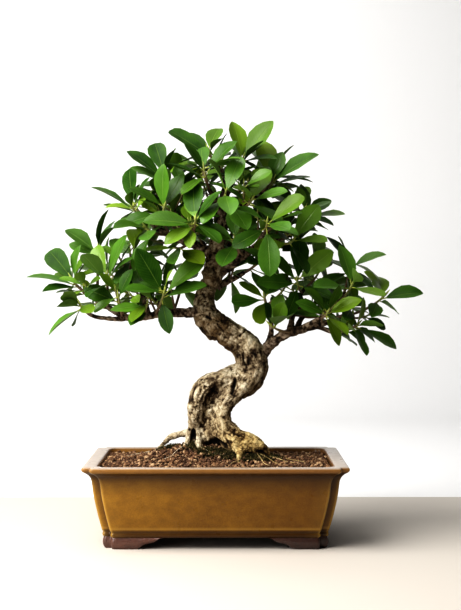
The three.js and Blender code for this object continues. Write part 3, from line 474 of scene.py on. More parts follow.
def bark_stain_and_shade(points, normals):
    """How brown the bark is, from 0 to 1. On undersides, on the flank that turns away from the light, on the
    right of the neck and on the low right end of the roots it is painted shade; on the upper trunk's left it
    is the bark's own brown. Slow noise breaks it up."""
    x, _, z = points.T
    # under, flank, toe and neck are painted shade; upper is the upper trunk's own brown.
    under = np.clip(-1.8 * normals[:, 2] - 0.1, 0, 1) * past(z, "soil", 0.2)
    flank = np.clip(1.5 * normals[:, 0] - 0.35, 0, 1) * past(z, "upper_bend") * past(z, "lower_bend")
    upper = past(z, "upper") * past(x, "left") * (1 - 0.35 * past(z, "top"))
    toe = 0.9 * past(x, "toe_right") * past(z, "toe_low")
    neck = 0.5 * np.clip(1.6 - np.abs(z - NECK_HEIGHT) / 10, 0, 1) * past(x, "neck_right")
    clouds = 0.5 + 0.5 * layered(points, 9.0, 3, 400)
    return np.clip(np.max([under, flank, upper, toe, neck], axis=0) * (0.45 + clouds), 0, 1)


# %% Raise the bark
# Painted shade: below what height in the relief bark starts to darken, over what depth, and how deep a hollow
# sinks to be painted black.
SHADE = {"below": 0.2, "depth": 3.4, "sunk": 4.5}  # in millimetres: where bark darkens, and where it is black

wood_at = (points_of(wood_mesh) - POT_MIDDLE) / MM
wood_normals = points_of(wood_mesh, "normal")
relief, cracks = bark_relief(wood_at)
sunk = hollow_depth(wood_at, wood_normals)
raised = wood_at + wood_normals * (relief - sunk)[:, None]
wood_mesh.vertices.foreach_set("co", placed(raised).astype(np.float32).ravel())
wood_mesh.polygons.foreach_set("use_smooth", np.full(len(wood_mesh.polygons), True))
wood_mesh.update()
# Painted shade: bark is marked darker where its relief is low, in cracks and in the sunk hollows.
low_relief = np.clip((SHADE["below"] - relief) / SHADE["depth"], 0, 1)
dark = 0.5 * low_relief + 0.5 * cracks + np.clip(sunk / SHADE["sunk"], 0, 1)
keep_values(wood_mesh, "shade_and_tone", dark)
keep_values(wood_mesh, "stain_and_shade", bark_stain_and_shade(wood_at, wood_normals))
trunk_bark = shown("trunk_bark", wood_mesh)
print("bark relief from", relief.min().round(1), "to", relief.max().round(1), "mm")

# %% [markdown]
# Branches are thinner, so plain tubes keep their shape better than a remesh would. Each swells a little
# where a leaf once stood, and starts with a collar inside the wood that it grew from.

# %% Branches
JOINT = {"pitch": 9.0, "swell": 0.1}
COLLAR = {"length": 5, "swell": 0.35}
ROUGH_SKIN = {"size": 2.6, "height": 0.2, "round": 3, "along": 0.5}
BRANCH = {"slim": np.array([1, 1, 1, 0.88]), "sides": 12, "step": 1.6}


def knotted(centre, radius, turn):
    """A swelling ring every so often along the branch, and a rough skin: factors near 1 for each ring's
    points."""
    length = length_along(centre)
    rings = JOINT["swell"] * np.clip(np.cos(2 * np.pi * length / JOINT["pitch"]), 0, 1) ** 6
    collar = COLLAR["swell"] * np.exp(-length / COLLAR["length"])
    along = ROUGH_SKIN["along"] * length[:, None] + 7 * radius[0]
    x, y = ROUGH_SKIN["round"] * np.cos(turn)[None], ROUGH_SKIN["round"] * np.sin(turn)[None]
    around = np.stack(np.broadcast_arrays(x, y, along), axis=-1)
    rough = ROUGH_SKIN["height"] * layered(around, ROUGH_SKIN["size"], 2, 500)
    return 1 + (rings + collar)[:, None] + rough


branch_parts = []
for points in BRANCHES.values():
    branch_parts.append(skin(tube(points * BRANCH["slim"], BRANCH["sides"], BRANCH["step"], knotted)))
branch_points, branch_faces = joined(branch_parts)
branch_mesh = mesh_of("branch_bark", placed(branch_points), branch_faces)
keep_values(branch_mesh, "shade_and_tone", np.clip(0.3 + 0.6 * layered(branch_points, 3.0, 2, 520), 0, 1))
keep_values(branch_mesh, "stain_and_shade", np.clip(0.45 + 0.6 * layered(branch_points, 18.0, 2, 530), 0, 1))
branch_bark = shown("branch_bark", branch_mesh)
print("branches:", len(branch_faces), "faces")

# %% [markdown]
# The leafy shoots. On the real tree each grows from its branch, turns up to the light and ends in a rosette
# of leaves. The list says where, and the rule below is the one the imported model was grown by, so every fine
# leaf lands on its plain one. fan gives each leaf's heading, lean and size, in degrees as seen from the
# front; where there is no fan, leaves wind round the shoot.

# %% The shoots
SHOOTS = [
    dict(on="leftLow", at=0.97, tip=[-172, -5, 308], fan=[[183, -26, 0.89], [163, -2, 1.22],
         [127, 18, 1.18], [88, 22, 0.97], [64, -38, 0.79], [20, 20, 0.8]]),
    dict(on="leftLow", at=0.9, tip=[-143, 25, 346], fan=[[152, 22, 0.78], [139, 14, 1.06], [73, 22, 1],
         [83, -18, 0.95], [54, -34, 0.79]]),
    dict(on="leftLow", at=0.8, tip=[-128, -20, 311], fan=[[202, -62, 0.81], [125, -34, 1.01],
         [73, -2, 1.24], [47, -22, 0.8], [117, 22, 0.89]]),
    dict(on="leftLowUp", at=0.93, tip=[-98, -4, 340], fan=[[208, -25, 0.8], [290, -38, 0.9], [350, 18, 0.8],
         [150, 12, 0.8], [67, -30, 0.78], [89, 42, 0.82]]),
    dict(on="leftLow", at=0.42, tip=[-59, -45, 296], fan=[[282, -14, 0.84], [23, -14, 0.99], [47, 2, 1.16],
         [118, -10, 1.12], [171, -30, 0.9], [160, 20, 0.8], [78, -40, 0.6]]),
    dict(on="leftLowOuter", at=0.93, tip=[-160, -26, 278], fan=[[213, -10, 1.02], [229, 54, 0.84],
         [165, -50, 0.79], [342, -66, 0.67], [139, -50, 0.78]]),
    dict(on="upperLeft", at=0.97, tip=[-101, -5, 395], fan=[[165, -14, 0.79], [147, -2, 1.26],
         [207, 62, 0.78], [101, 22, 1.18], [66, -14, 0.84], [34, 22, 0.9]]),
    dict(on="upperLeftUp", at=0.97, tip=[-62, 0, 432], fan=[[149, -2, 0.93], [137, 6, 1.07], [156, 34, 0.8],
         [104, 22, 0.95], [74, -34, 0.78], [30, 20, 0.85]]),
    dict(on="topLeft", at=0.97, tip=[-14, -36, 437], fan=[[156, 0, 0.95], [210, -30, 0.7], [53, 8],
         [122, -14, 0.85], [104, 42, 0.81], [20, -20, 0.8]]),
    dict(on="upperLeftFront", at=0.97, tip=[-23, -64, 376], fan=[[208, -24, 0.8], [170, -6, 1.09],
         [329, -38, 0.8], [97, 26, 0.98], [55, -6, 0.82], [120, 36, 0.8]]),
    dict(on="upperLeft", at=0.78, tip=[-60, -32, 392], fan=[[200, -22, 0.9], [330, -28, 0.8], [92, -20],
         [48, 0, 0.9], [132, 15, 0.9]]),
    dict(on="topMiddle", at=0.97, tip=[32, -10, 450], fan=[[178, -25, 0.8], [52, -30, 0.78], [55, 2, 1.28],
         [97, 14, 0.94], [8, -24, 0.8], [123, 42, 0.81], [75, 40, 0.7]]),
    dict(on="topRight", at=0.97, tip=[67, -16, 424], fan=[[330, 12, 0.9], [15, -14, 0.99], [38, -6, 1.2],
         [72, 18, 0.78], [99, 26, 1.13], [92, 38, 0.83]]),
    dict(on="midRightFront", at=0.97, tip=[59, -70, 373], fan=[[209, -12, 0.9], [276, -22, 1.18],
         [350, -26, 0.79], [40, -6, 0.98], [345, -62, 0.8], [150, -20, 0.8]]),
    dict(on="midRight", at=0.97, tip=[108, 5, 386], fan=[[337, 66, 0.79], [342, -46, 0.78], [14, -6, 0.92],
         [38, 18, 0.8], [90, 26, 0.79], [150, -14, 0.9]]),
    dict(on="rightLowUp", at=0.9, tip=[95, -26, 306], fan=[[250, -30, 0.8], [345, -24, 0.9],
         [172, -20, 0.9], [84, 10], [130, 5, 0.95], [42, -12, 0.95]]),
    dict(on="rightLowOut", at=0.97, tip=[161, 6, 329], fan=[[200, -20, 0.8], [320, -50, 0.82],
         [29, 2, 0.91], [120, 22, 1.03], [110, -18, 0.78], [337, 18, 0.83]]),
    dict(on="rightLow", at=0.97, tip=[202, 0, 289], fan=[[240, -66, 0.78], [334, -54, 0.8], [15, -2, 0.89],
         [87, 50, 0.86], [122, -34, 0.81], [131, -62, 0.87]]),
    dict(on="rightLowDown", at=0.97, tip=[167, -22, 254], fan=[[300, -38, 0.78], [332, 34, 0.8],
         [338, -6, 1.04], [10, -42, 0.81], [60, 10, 0.7]]),
    dict(on="rightLowFront", at=0.97, tip=[130, -46, 269], fan=[[303, 10, 0.84], [323, -46, 0.78],
         [150, -20, 0.8], [26, -14, 0.84], [66, -36, 0.8], [100, 10, 0.8]]),
    dict(on="rightLowNear", at=0.95, tip=[57, -2, 288], fan=[[247, -58, 0.82], [182, -26, 0.79],
         [142, 14, 0.78], [50, 15, 0.75], [48, 66, 0.86]]),
    dict(on="rightLow", at=0.5, tip=[63, -26, 254], fan=[[74, -46, 0.8], [56, -66, 1.28], [104, -46, 0.78],
         [60, -20, 0.8]]),
    dict(on="leftLow", at=0.52, tip=[-80, -36, 280], fan=[[229, -58, 0.78], [165, 0, 0.9], [110, -25, 0.8],
         [195, -34, 0.8]]),
    dict(on="leftLow", at=0.66, tip=[-114, -36, 288], fan=[[170, -14, 0.85], [30, -12, 0.8],
         [128, -20, 0.85], [70, -8, 0.9], [225, -20, 0.6]]),
    dict(on="upperLeft", at=0.62, tip=[-82, -38, 368], leaves=6, turn=210),
    dict(on="upperLeft", at=0.4, tip=[-48, -24, 344], leaves=5, turn=140),
    dict(on="leftLow", at=0.28, tip=[-40, 16, 310], leaves=6, turn=20),
    dict(on="topFront", at=0.97, tip=[42, -44, 399], leaves=6, turn=30),
    dict(on="topLeft", at=0.5, tip=[12, -62, 408], leaves=6, turn=200),
    dict(on="leader", at=0.97, tip=[-10, 6, 462], fan=[[143, 6, 1.3], [131, 30, 0.97], [190, -20, 0.8],
         [51, -46, 0.71], [72, 38, 0.8]]),
    dict(on="midRight", at=0.35, tip=[22, -46, 354], leaves=6, turn=330),
    dict(on="midRight", at=0.72, tip=[90, -38, 352], leaves=6, turn=50),
    dict(on="midRightLow", at=0.97, tip=[46, 14, 324], fan=[[310, -42, 0.83], [339, 22, 0.82],
         [200, 58, 0.7], [60, 20, 0.8], [110, -10, 0.8]]),
    dict(on="midRightOut", at=0.97, tip=[127, 16, 332], leaves=6, turn=60),
    dict(on="rightLowUp", at=0.97, tip=[124, 24, 316], leaves=6, turn=120),
    dict(on="rightLowOut", at=0.6, tip=[160, -32, 302], leaves=6, turn=300),
    dict(on="leftLowBack", at=0.97, tip=[-134, 50, 318], leaves=6, turn=10),
    dict(on="leftLowUp", at=0.75, tip=[-106, 40, 344], leaves=6, turn=160),
    dict(on="leftLowBack", at=0.55, tip=[-72, 54, 312], leaves=6, turn=70),
    dict(on="upperLeftBack", at=0.97, tip=[-64, 58, 390], leaves=6, turn=200),
    dict(on="upperLeftBack", at=0.6, tip=[-84, 50, 358], leaves=5, turn=300),
    dict(on="topBackLeft", at=0.97, tip=[-16, 64, 424], leaves=6, turn=45),
    dict(on="topBackLeft", at=0.5, tip=[-46, 34, 420], leaves=5, turn=130),
    dict(on="topBackRight", at=0.97, tip=[50, 60, 418], leaves=6, turn=280),
    dict(on="topRight", at=0.6, tip=[66, 28, 436], leaves=5, turn=100),
    dict(on="leader", at=0.6, tip=[20, 34, 452], leaves=5, turn=230),
    dict(on="midRight", at=0.8, tip=[92, 48, 396], leaves=6, turn=340),
    dict(on="backLow", at=0.97, tip=[34, 94, 374], leaves=6, turn=90),
    dict(on="backLow", at=0.6, tip=[66, 62, 352], leaves=5, turn=10),
    dict(on="backLeft", at=0.97, tip=[-28, 98, 378], leaves=6, turn=170),
    dict(on="rightLowBack", at=0.97, tip=[136, 58, 298], leaves=6, turn=220),
    dict(on="rightLowBack", at=0.5, tip=[94, 58, 294], leaves=5, turn=320),
    dict(on="midRightLow", at=0.4, tip=[16, 20, 318], fan=[[288, 10, 0.88], [240, 20, 0.7], [40, 10, 0.8]]),
]
print(len(SHOOTS), "shoots")

# %% [markdown]
# Growing the leaves is a small game of room. Each leaf takes the place that its rule gives, and is turned a
# little or made smaller until it stands clear of all that is already there. Leaves turn their faces to the
# light: away from the heart of the crown, up, and towards the front.

# %% How a leaf stands
LEAF = {"length": 54, "width": 24.5, "fold": 0.09, "camber": 0.1}
LEAF_SIZE = {"shortest": 0.88, "spare": 0.2, "newest": 0.86}
STANCE = {"newest": 34, "oldest": 88, "wander": 14, "roll": 40, "droop": 0.22}
LEAF_STATIONS = np.array([[0, 0.03], [0.13, 0.06], [0.42, 0.86], [0.74, 0.97], [1, 0]])
TWIG = {"base": 2.1, "tip": 1.2, "bud": 8, "internode": 2.4, "foot": 1.5}
CROWN_HEART = np.array([0, 0, 300.0])
LIGHT = {"heading": 0.35, "outward": 0.5, "sky": np.array([0, -0.42, 0.6])}
GOLDEN_TURN = 137.5
ELBOW = 0.45
LIFT = np.array([0, 0, 0.53])
TRIES = [  # turns in degrees and sizes, in the order in which they are tried
    (0, 1), (14, 1), (-14, 1), (28, 1), (-28, 1), (42, 0.9), (-42, 0.9), (56, 0.85), (-56, 0.85), (0, 0.75)]


def turned(vector, axis, degrees):
    """A vector turned about an axis: the part across the axis swings round it, and the part along it
    stays."""
    turn = np.radians(degrees)
    swung = vector * np.cos(turn) + np.cross(axis, vector) * np.sin(turn)
    return swung + axis * (axis @ vector) * (1 - np.cos(turn))


def bent(line, t):
    """A place on a shoot's line: the curve that leaves the start towards the elbow and reaches the end from
    it."""
    t = np.atleast_1d(t)[:, None]
    return (1 - t) ** 2 * line["start"] + 2 * t * (1 - t) * line["elbow"] + t**2 * line["end"]


def shoot_line(shoot):
    """The line of a shoot, from its branch to its tip, which points partly up."""
    start = smooth_line(np.array(BRANCHES[shoot["on"]])[:, :3], shoot["at"])[0]
    end = np.array(shoot["tip"], float)
    reach = np.linalg.norm(end - start)
    heading = unit((end - start) / reach + LIFT)
    return {"start": start, "end": end, "heading": heading, "elbow": end - heading * ELBOW * reach}


def leaf_count(shoot):
    """How many leaves a shoot may bear."""
    return len(shoot["fan"]) if "fan" in shoot else shoot["leaves"]


def leaf_at(shoot, s, i, swing, size):
    """Leaf i of shoot s: where its stalk starts, the directions along it, out of its face and across it,
    and its length and half width."""
    line, count = shoot["line"], leaf_count(shoot)
    bend = np.linalg.norm(line["end"] - line["elbow"])
    back = (count - 1 - i) * min(TWIG["internode"], bend / count) + TWIG["foot"]
    base = bent(line, 1 - back / (2 * bend))[0]
    heading = line["heading"]
    if "fan" in shoot:
        angle, lean = np.radians(shoot["fan"][i][:2])
        along = np.array([np.cos(angle) * np.cos(lean), np.sin(lean), np.sin(angle) * np.cos(lean)])
        along = turned(along, heading, swing)
        grown = shoot["fan"][i][2] if len(shoot["fan"][i]) > 2 else 1
    else:
        age = 1 - i / (count - 1)
        spread = STANCE["newest"] + (STANCE["oldest"] - STANCE["newest"]) * age
        spread = np.radians(spread + STANCE["wander"] * (draw(s, i, 1) - 0.5))
        across = unit(np.cross([0, 1, 0], heading))
        over = np.cross(heading, across)
        turn = np.radians(shoot["turn"] + i * GOLDEN_TURN + swing)
        along = heading * np.cos(spread) + (across * np.cos(turn) + over * np.sin(turn)) * np.sin(spread)
        along = unit(along - [0, 0, STANCE["droop"] * age])
        grown = LEAF_SIZE["newest"] if i == count - 1 else 1
    outward = unit(line["end"] - CROWN_HEART)
    light = LIGHT["sky"] + heading * LIGHT["heading"] + outward * LIGHT["outward"]
    face = turned(unit(light - along * (light @ along)), along, STANCE["roll"] * (draw(s, i, 2) - 0.5))
    own_size = LEAF_SIZE["shortest"] + LEAF_SIZE["spare"] * draw(s, i, 3)
    share = size * shoot.get("scale", 1) * grown * own_size
    return {"base": base, "along": along, "face": face, "side": np.cross(face, along), "name": (s, i),
            "length": LEAF["length"] * share, "half": LEAF["width"] / 2 * share}


# %% Room for a leaf
ACROSS = np.array([-1, -0.67, -0.33, 0, 0.33, 0.67, 1])
PROBES = {"along": 13, "from": 3, "twig": 12, "bud": 3, "knot": 5}
NEAR = {"middle": 0.55, "reach": 0.6, "more": 28, "stalk": 0.5}
CLEAR = {"leaf": 3.9, "same": 2.4, "wood": 2.4}
SNUG = {"leaf": 1.9, "same": 1.3, "wood": 1.5}


def blade_points(leaf, share, across):
    """Places on the plain blade, which arches down towards its tip and folds up from its rib."""
    arch = LEAF["camber"] * leaf["length"] * share**2
    lift = LEAF["fold"] * np.abs(across) - arch
    return (leaf["base"] + leaf["along"] * (leaf["length"] * share)[:, None]
            + leaf["side"] * across[:, None] + leaf["face"] * lift[:, None])


def leaf_probes(leaf, own):
    """Rows of x, y, z, radius, owner and share, spread over a leaf."""
    share = np.repeat(np.arange(PROBES["from"], PROBES["along"] + 1) / PROBES["along"], len(ACROSS))
    half = leaf["half"] * np.interp(share, *LEAF_STATIONS.T)
    points = blade_points(leaf, share, half * np.tile(ACROSS, len(share) // len(ACROSS)))
    return np.column_stack([points, np.zeros(len(share)), np.full(len(share), own), share])


def limb_probes(points, radius, own):
    """The same rows for points down the middle of a limb."""
    return np.column_stack([points, radius, np.full(len(points), own), np.zeros(len(points))])


def wood_probes(points):
    """Rows for a piece of old wood or a branch."""
    points = np.array(points, float)
    shares = np.linspace(0, 1, len(points) * PROBES["knot"] + 1)
    radius = np.interp(shares, np.linspace(0, 1, len(points)), points[:, 3])
    return limb_probes(smooth_line(points[:, :3], shares), radius, -1)


def twig_probes(line, own):
    """Rows for a shoot's twig and for its bud."""
    t = np.linspace(0, 1, PROBES["twig"] + 1)
    bud = np.linspace(0, 1, PROBES["bud"] + 1)
    bud_points = line["end"] + line["heading"] * (TWIG["bud"] * bud)[:, None]
    return np.vstack([
        limb_probes(bent(line, t), TWIG["base"] + (TWIG["tip"] - TWIG["base"]) * t, own),
        limb_probes(bud_points, TWIG["tip"] + (0.1 - TWIG["tip"]) * bud, own)])


def stands_clear(probes, leaf, taken, clear):
    """Whether every probe keeps its distance from all that is taken. Leaves of one shoot may meet near the
    stalk."""
    middle = blade_points(leaf, np.array([NEAR["middle"]]), np.zeros(1))[0]
    reach = leaf["length"] * NEAR["reach"] + NEAR["more"]
    near = taken[((taken[:, :3] - middle) ** 2).sum(1) < reach**2]
    apart = ((probes[:, None, :3] - near[None, :, :3]) ** 2).sum(-1)
    same = near[:, 4] == probes[0, 4]
    wood = near[:, 3] > 0
    least = np.where(wood, near[:, 3] + clear["wood"], np.where(same, clear["same"], clear["leaf"]))
    spared = same & (wood | (near[:, 5] < NEAR["stalk"])) | (same & (probes[:, None, 5] < NEAR["stalk"]))
    return bool(np.all(spared | (apart >= least**2)))


# %% Grow the leaves
taken = [wood_probes(points) for points in [TRUNK, *STRANDS.values(), *BRANCHES.values()]]
for s, shoot in enumerate(SHOOTS):
    shoot["line"] = shoot_line(shoot)
    taken.append(twig_probes(shoot["line"], s))
taken = np.vstack(taken)


def grow(shoot, s, taken, clear, within=None):
    """Gives a shoot the leaves that find room, and returns them with all that is then taken. Where the
    crown's lower and upper outlines are given, as lines of [x, z], a leaf stays between them."""
    grown = []
    for i in range(leaf_count(shoot)):
        for swing, size in TRIES:
            leaf = leaf_at(shoot, s, i, swing, size)
            probes = leaf_probes(leaf, s)
            low, high = (np.interp(probes[:, 0], *line.T) for line in within) if within else (-np.inf, np.inf)
            inside = np.all((probes[:, 2] > low) & (probes[:, 2] < high))
            if inside and stands_clear(probes, leaf, taken, clear):
                grown.append(leaf)
                taken = np.vstack([taken, probes])
                break
    return grown, taken


for s, shoot in enumerate(SHOOTS):
    shoot["grown"], taken = grow(shoot, s, taken, CLEAR)
print("leaves that the packed model has too:", sum(len(shoot["grown"]) for shoot in SHOOTS))

# %% [markdown]
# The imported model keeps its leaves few. A real crown is fuller: short side shoots stand between the big
# ones all along the branches. They are grown by the same rule with less room between leaves, from places
# spaced along each branch, and they head out from the heart of the crown. A side shoot that finds room for
# one leaf only is left out.

# %% Side shoots
SIDE = {"pitch": 5.5, "shortest": 10, "spare": 26, "leaves": 5, "least": 2, "scale": 0.64, "slim": 0.8}
SIDE_HEADING = {"heart_below": 30, "outward": 0.8, "wander": 1.6, "up": 0.55}
SIDE_ROOM = {"first_probe": 6, "reach": 60, "apart": 2.2}
TOPSIDE = np.array([[-227, 306], [-204, 338], [-179, 363], [-150, 411], [-109, 454], [-55, 478], [10, 481],
                    [28, 489], [72, 489], [121, 452], [155, 392], [201, 347], [246, 292]])
UNDERSIDE = np.array([[-222, 311], [-168, 272], [-138, 276], [-115, 262], [-92, 254], [-67, 280], [-31, 294],
                      [28, 284], [52, 262], [100, 260], [124, 254], [148, 236], [172, 224], [214, 232]])


def side_shoots():
    """Candidates along every branch: each leaves its branch a share of the way along and turns outward and
    up."""
    found = []
    for b, (name, points) in enumerate(BRANCHES.items()):
        points = np.array(points, float)
        shares = evenly(points, SIDE["pitch"])
        for k, share in enumerate(shares[2:] if len(shares) > 4 else shares[1:]):
            start = smooth_line(points[:, :3], share)[0]
            for fork in range(2):
                key = 1000 + 80 * b + 2 * k + fork
                wander = np.array([draw(key, 1, 7), draw(key, 2, 7), draw(key, 3, 7)]) - 0.5
                outward = unit(start - CROWN_HEART + [0, 0, SIDE_HEADING["heart_below"]])
                heading = outward * SIDE_HEADING["outward"] + SIDE_HEADING["wander"] * wander
                heading = unit(heading + [0, 0, SIDE_HEADING["up"]])
                length = SIDE["shortest"] + SIDE["spare"] * draw(key, 4, 7)
                tip = start + heading * length
                turn = 360 * draw(key, 5, 7)
                found.append(dict(on=name, at=share, tip=tip, leaves=SIDE["leaves"], turn=turn, key=key,
                                  scale=SIDE["scale"]))
    return found


side = []
for shoot in side_shoots():
    shoot["line"] = shoot_line(shoot)
    own = shoot["key"]
    outer = twig_probes(shoot["line"], own)[SIDE_ROOM["first_probe"]:]
    near = taken[((taken[:, :3] - shoot["line"]["end"]) ** 2).sum(1) < SIDE_ROOM["reach"] ** 2]
    apart = np.sqrt(((outer[:, None, :3] - near[None, :, :3]) ** 2).sum(-1)) - near[:, 3]
    if apart.min() < SIDE_ROOM["apart"]:
        continue
    shoot["grown"], with_leaves = grow(shoot, own, np.vstack([taken, outer]), SNUG, (UNDERSIDE, TOPSIDE))
    if len(shoot["grown"]) >= SIDE["least"]:
        side.append(shoot)
        taken = with_leaves
print("side shoots:", len(side), "with", sum(len(shoot["grown"]) for shoot in side), "leaves")

# %% [markdown]
# One leaf of this fig is a flattened tube: a round stalk that widens into a blade, broadest past its middle
# and bluntly pointed. Its rib stands out below. All leaves of a shoot are worked out at once, as an array
# with one row for each leaf, and each gets its own curl, fold and ripple.

# %% The shape of a leaf
STALK_SHARE = 0.13
STALK = {"radius": 0.75, "taper": 0.25, "blade": 0.22, "rib": 0.5}
STATIONS = np.array([0, 0.13, 0.23, 0.38, 0.56, 0.74, 0.875, 0.96, 1.0])
RING = np.radians(np.arange(8) * 45)
FLAT = np.array([1, 0.5, 0, -0.5, -1, -0.5, 0, 0.5])
# Pairs are the least value and what a leaf's own draw adds to it.
BLADE = {
    "wedge": (0.9, 0.45), "blunt": (0.62, 0.3), "round": 0.46, "opens": 0.16, "ripple": 0.05, "waves": 1.7,
    "fold": (0.08, 0.3), "curl": (0.06, 0.07), "tip_curl": 0.05, "sway": 0.05}
# The photograph shows these with a round tip: the shoot, counted from 0, and the leaf.
ROUND = {(0, 2), (6, 3), (7, 3), (9, 2), (7, 2), (20, 0), (20, 1), (13, 3), (3, 5), (2, 4), (29, 0)}


def leaf_surface(leaves):
    """Points, the place on the blade and the side of it for many leaves. The half width is the share of the
    blade passed, to a power, times the share left, to another, so it is broadest past the middle. A section
    is a circle at the stalk and turns into a thin flat one with a rib below. The rib arches down, and the
    halves fold up."""
    base, along, face, side, length, half = (
        np.array([leaf[key] for leaf in leaves])[:, None, None]
        for key in ("base", "along", "face", "side", "length", "half"))
    names = np.array([leaf["name"] for leaf in leaves], float)
    own = [draw(names[:, 0], names[:, 1], key)[:, None, None] for key in range(11, 17)]
    least, more = np.array([BLADE[key] for key in ("wedge", "blunt", "fold", "curl")]).T
    t = STATIONS[None, :, None]
    passed = np.clip((t - STALK_SHARE) / (1 - STALK_SHARE), 0, 1)
    broad = np.array([leaf["name"] in ROUND for leaf in leaves])[:, None, None]
    wedge, blunt = least[0] + more[0] * own[1], np.where(broad, BLADE["round"], least[1] + more[1] * own[0])
    peak = wedge / (wedge + blunt)
    width = passed**wedge * (1 - passed) ** blunt / (peak**wedge * (1 - peak) ** blunt)
    opened = np.clip(passed / BLADE["opens"], 0, 1)
    opened = opened * opened * (3 - 2 * opened)
    stalk = STALK["radius"] * (1 - STALK["taper"] * t)
    reach = np.maximum(half * width, stalk * (1 - passed))
    across = reach * ((1 - opened) * np.cos(RING) + opened * FLAT)
    thick = np.where(np.sin(RING) > 0, STALK["blade"], -STALK["blade"]) * (1 - np.abs(FLAT))
    rib = np.where(RING == RING[6], STALK["rib"] * (1 - t), 0)
    depth = (1 - opened) * stalk * np.sin(RING) + opened * (thick - rib)
    beside = np.abs(across) / half
    wave = np.sin(2 * np.pi * (BLADE["waves"] * t + own[1]))
    ripple = BLADE["ripple"] * half * wave * np.sign(across) * beside**2
    fold = (least[2] + more[2] * own[2]) * np.abs(across) * opened
    curl = length * (least[3] + more[3] * own[3]) * t**2 + length * BLADE["tip_curl"] * own[4] * t**6
    sway = length * BLADE["sway"] * (2 * own[5] - 1) * t**2
    ahead, aside, up = length * t + 0 * across, across + sway, depth + fold + ripple - curl
    points = base + along * ahead[..., None] + side * aside[..., None] + face * up[..., None]
    uv_across = np.broadcast_to(0.5 + 0.5 * np.where(opened > 0.5, FLAT, np.cos(RING)), points.shape[:3])
    uv_along = np.broadcast_to(t, points.shape[:3])
    return points, np.stack([uv_across, uv_along], axis=-1)


def leaf_faces():
    """Faces of one leaf, and which of them lie on its underside: quads between rings, and a fan round the
    tip. A quad is split from its first to its third point, so those below start one point on, and both
    sides split alike."""
    rings, sides = len(STATIONS) - 1, len(RING)
    last, tip = (rings - 1) * sides, rings * sides
    faces, under = [], []
    for k in range(rings - 1):
        for j in range(sides):
            low, high, after = k * sides, (k + 1) * sides, (j + 1) % sides
            face = [low + j, low + after, high + after, high + j]
            faces.append(face if j < sides // 2 else face[1:] + face[:1])
            under.append(j >= sides // 2)
    for j in range(sides):
        faces.append([last + j, last + (j + 1) % sides, tip])
        under.append(j >= sides // 2)
    return [*faces, list(range(sides))[::-1]], [*under, True]


LEAF_FACES, LEAF_UNDER = leaf_faces()
print("faces in a leaf:", len(LEAF_FACES))

# %% [markdown]
# A twig is green and smooth. It swells at each leaf, thins towards its end and closes in a pointed bud.

# %% Twigs, buds and whole shoots
TWIG_FORM = {"rings": 15, "bud_rings": 8, "sides": 8, "base": 0.8, "tip": 0.95, "node": 0.16, "bud": 1.25}


def twig_rings(shoot, slim):
    """Rings along the shoot's line, with a swelling under each leaf, and then along the bud, which is round
    below and sharp above."""
    line, count = shoot["line"], len(shoot["grown"])
    t = np.linspace(0, 1, TWIG_FORM["rings"])
    bud_share = np.linspace(0, 1, TWIG_FORM["bud_rings"])[1:]
    centre = np.vstack([bent(line, t), line["end"] + line["heading"] * (TWIG["bud"] * bud_share)[:, None]])
    base, tip = TWIG["base"] * TWIG_FORM["base"], TWIG["tip"] * TWIG_FORM["tip"]
    radius = slim * (base + (tip - base) * t)
    radius = radius * (1 + TWIG_FORM["node"] * np.cos(2 * np.pi * t * (2 + count)) ** 4)
    bud = slim * TWIG["tip"] * (TWIG_FORM["bud"] * (1 - bud_share) ** 0.8 + 0.02)
    radius = np.concatenate([radius, bud])
    _, across, over = carried_frames(centre)
    turn = 2 * np.pi * np.arange(TWIG_FORM["sides"]) / TWIG_FORM["sides"]
    return centre[:, None] + radius[:, None, None] * spokes(across, over, turn)


TWIG_WOOD, LEAF_TOP, LEAF_UNDERSIDE = 0, 1, 2
YOUTH_AND_LIGHT = {"rarity": 14, "newest": 0.35, "left": 0.5, "from": -70, "span": 30}
# How young a leaf is and its tone, for those that the photograph shows clearly: by shoot, counted from 0,
# and leaf.
LOOKS = {
    (0, 1): (0, 0.5), (0, 2): (0, 0), (2, 4): (0.4, 0.8), (4, 0): (0, 0.05), (4, 1): (0, 0.7),
    (4, 2): (0.1, 0.9), (4, 3): (0, 0), (4, 6): (0.7, 0.8), (6, 1): (0, 0.4), (6, 3): (0, 0),
    (7, 2): (0, 0.1), (7, 3): (0, 0), (7, 4): (0, 0.3), (8, 3): (0, 0.3), (9, 2): (0, 0.4),
    (9, 3): (0, 0.2), (11, 2): (0.2, 0.3), (11, 3): (0.6, 0.9), (12, 2): (0, 0.3), (12, 4): (0.8, 0.5),
    (13, 1): (0, 0.5), (16, 5): (0.5, 0.6), (17, 3): (0.6, 0.6)}


def look_of(shoot, k):
    """How young leaf k of a shoot is and its tone, from 0 to 1. The newest leaf is younger. Leaves of side
    shoots on the far left are also made paler and yellower, which is painted light from the left."""
    s, i = shoot["grown"][k]["name"]
    fresh = draw(s, i, 21) ** YOUTH_AND_LIGHT["rarity"]
    fresh += YOUTH_AND_LIGHT["newest"] * draw(s, i, 23) * (k == len(shoot["grown"]) - 1)
    # Painted light: leaves of side shoots on the far left get the paler young colour, as if lit from the left.
    left = np.clip((YOUTH_AND_LIGHT["from"] - shoot["line"]["end"][0]) / YOUTH_AND_LIGHT["span"], 0, 1)
    fresh += YOUTH_AND_LIGHT["left"] * draw(s, i, 24) * left * ("key" in shoot)
    fresh, tone = LOOKS.get((s, i), (fresh, draw(s, i, 22)))
    return min(fresh, 1), tone


